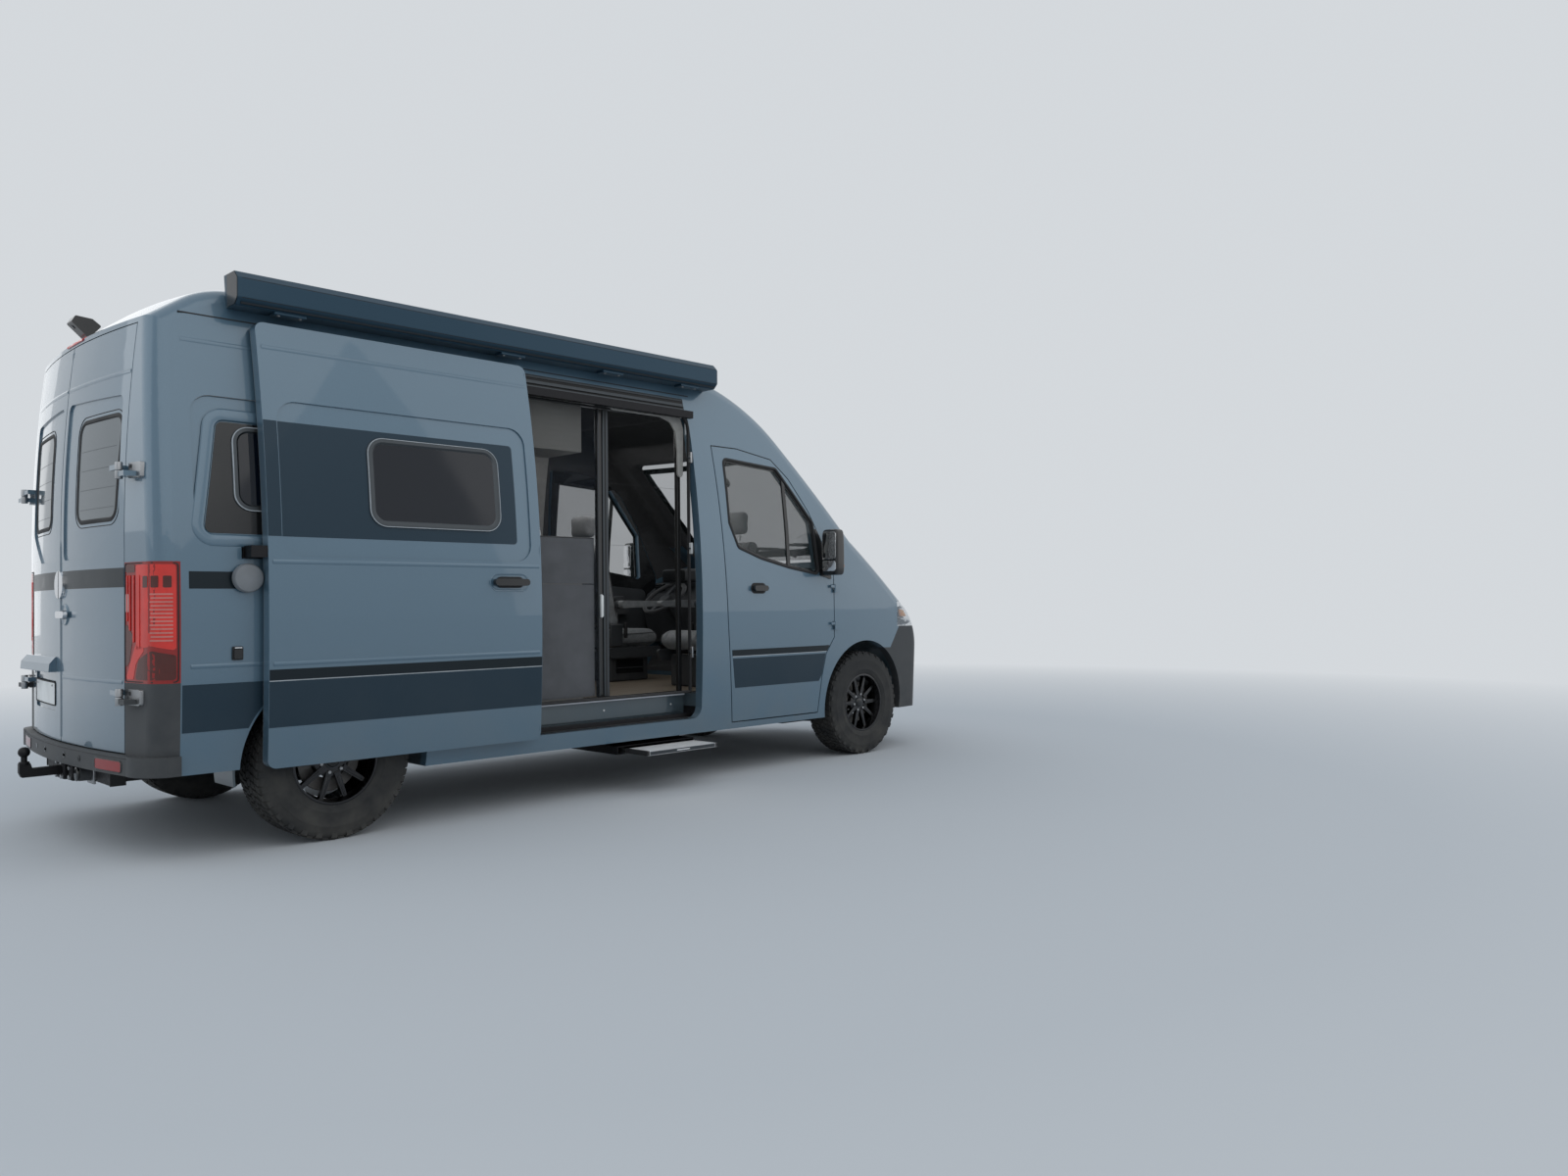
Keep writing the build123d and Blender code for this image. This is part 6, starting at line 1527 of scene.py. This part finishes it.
# Windscreen: black border, sensor box, wipers
SCREEN = mesh_tree(nodes["windows"].data)
SCREEN_OUT = (0.66, 0, 0.75)


def screen_hit(y, z):
    return SCREEN.ray_cast(Vector((9.0, y, z)), Vector((-1, 0, 0)))[0]


def screen(u, v, d):
    """The windscreen's skin; u is y."""
    hit = screen_hit(u, v)
    while hit is None and abs(u) > 0.01:
        u *= 0.98
        hit = screen_hit(u, v)
    return hit + Vector(SCREEN_OUT) * d


edge = []
for k in range(24):
    z = 1.470 + (2.155 - 1.470) * k / 23
    y = 0.0
    while y < 0.95 and screen_hit(y, z):
        y += 0.005
    if y > 0.3:
        edge.append((y - 0.012, z))
outline = edge + [(-y, z) for y, z in reversed(edge)]
low_z, top_z = edge[0][1], edge[-1][1]
inner = [(y - 0.045 if y > 0 else y + 0.045, min(max(z, low_z + 0.05), top_z - 0.035)) for y, z in outline]
inner = [p for i, p in enumerate(inner) if p != inner[i - 1]]
patch("screen_border", outline, screen, 0.0004, 0.0012, "black_gloss", holes=[rounded(inner, 0.03, 4)],
      step=(0.1, 0.1))
patch("screen_sensor", rounded([(-0.06, top_z - 0.15), (0.06, top_z - 0.15), (0.075, top_z - 0.02),
                                (-0.075, top_z - 0.02)], 0.02), screen, -0.03, -0.008, "black_gloss", 0.004)
for k, (pivot, hold, blade) in enumerate((
    ((0.60, low_z - 0.002), (0.27, low_z + 0.062), ((0.60, low_z + 0.085), (-0.06, low_z + 0.045))),
    ((-0.12, low_z - 0.002), (-0.44, low_z + 0.060), ((-0.14, low_z + 0.080), (-0.70, low_z + 0.048))),
)):
    a, b = Vector(blade[0]), Vector(blade[1])
    line = [a.lerp(b, i / 10) for i in range(11)]
    strip("wiper_blade_%d" % k, line, [(-6, 3), (-4, 14), (1, 22), (5, 12), (4, 3)], screen, "rubber")
    strip("wiper_spine_%d" % k, line[1:-1], [(-3, 19), (-2, 27), (2, 27), (3, 19)], screen, "steel_black")
    p, h = Vector(pivot), Vector(hold)
    strip("wiper_arm_%d" % k, [p.lerp(h, i / 6) for i in range(7)], [(-11, 20), (-8, 34), (6, 34), (9, 20)], screen,
          "steel_black")
    at = screen(pivot[0], pivot[1], 0.0)
    lathe("wiper_cap_%d" % k, [(0, 42), (14, 40), (19, 34), (20, 4)], (at.x - S, at.y, at.z), SCREEN_OUT,
          "black_gloss", 24)

# Wardrobe and lockers: doors, lids, locks
LOCK = [(0, 6), (12, 5), (15, 0), (17, 0)]
for k, (x0, x1, z0, z1) in enumerate((
    (0.48, 0.896, 0.62, 1.5), (0.904, 1.32, 0.62, 1.5), (0.48, 0.896, 1.508, 2.4), (0.904, 1.32, 1.508, 2.4),
)):
    patch("wardrobe_door_%d" % k, pad(x0, x1, z0, z1, 0.005), upright(0.2285), -0.014, 0.0, "front_panel", 0.002,
          step=COARSE)
    lathe("wardrobe_lock_%d" % k, LOCK, (x1 - 0.05 if k % 2 == 0 else x0 + 0.05, 0.2145, 1.36 if k < 2 else 1.62),
          (0, -1, 0), "alloy", 28)
BED_SPANS = ((-0.695, -0.155), (-0.148, 0.395))
for name, y, out, spans, z0, z1 in (
    ("left", 0.560, -1, BED_SPANS, 2.14, 2.395), ("right", -0.560, 1, BED_SPANS, 2.14, 2.395),
    ("kitchen", -0.438, 1, ((0.476, 1.012), (1.018, 1.554)), 2.006, 2.28),
):
    for k, (x0, x1) in enumerate(spans):
        patch("locker_lid_%s_%d" % (name, k), pad(x0, x1, z0, z1, 0.006), upright(y), 0.0, 0.013 * out, "front_panel",
              0.003, step=COARSE)
        lathe("locker_lock_%s_%d" % (name, k), LOCK, ((x0 + x1) / 2, y + 0.013 * out, z0 + 0.03), (0, out, 0),
              "alloy", 28)
patch("skirting_left", box_points(1.36, 3.3, 0.545, 0.64), left, -0.074, -0.0625, "headliner", 0.003)
for k in range(11):
    x = -0.69 + 0.102 * k
    slab("bed_slat_%d" % k, (x, -0.8, 1.0125), (x + 0.06, 0.8, 1.0205), "floor", 0.003)

# Under the bonnet: cover, air box, tank, hose and caps on the engine
top = flat(ENGINE_TOP_Z)
patch("engine_cover", pad(3.92, 4.42, -0.23, 0.1, 0.05), top, -0.002, 0.055, "dark_plastic", 0.018, step=(0.2, 0.2))
cells("engine_cover_ribs", [(3.97 + 0.03 * i, 3.98 + 0.03 * i, -0.16, 0.03, 0.05, 0.06) for i in range(9)], top,
      "black_gloss", 0.002)
lathe("oil_cap", [(0, 30), (22, 29), (30, 25), (32, 6), (36, 0)], (4.34, -0.13, 1.054), (0, 0, 1), "black_gloss", 20)
tube("dipstick", bend([(4.3, 0.06, 1.05), (4.3, 0.06, 1.11), (4.33, 0.06, 1.125), (4.35, 0.06, 1.1)], 0.015), 0.004,
     "lamp_amber")
patch("air_box", pad(3.94, 4.36, 0.135, 0.335, 0.03), top, -0.002, 0.085, "dark_plastic", 0.008, step=(0.3, 0.3))
patch("air_box_lid", pad(3.935, 4.365, 0.13, 0.34, 0.035), top, 0.085, 0.13, "black_gloss", 0.014, step=(0.3, 0.3))
cells("air_box_clips", [(x, x + 0.014, y, y + 0.008, 0.07, 0.104) for x in (3.99, 4.15, 4.31)
                        for y in (0.124, 0.337)], top, "zinc", 0.002)
tube("intake_hose", bend([(4.36, 0.235, 1.06), (4.43, 0.235, 1.06), (4.45, 0.1, 1.05), (4.44, 0.0, 1.03),
                          (4.39, 0.0, 1.03)], 0.05), 0.028, "rubber", 6)
patch("coolant_tank", pad(4.06, 4.28, -0.34, -0.25, 0.025), top, -0.002, 0.105, "white", 0.014, step=(0.3, 0.3))
lathe("coolant_cap", [(0, 26), (20, 25), (24, 21), (25, 0)], (4.17, -0.295, 1.103), (0, 0, 1), "black_gloss", 16)
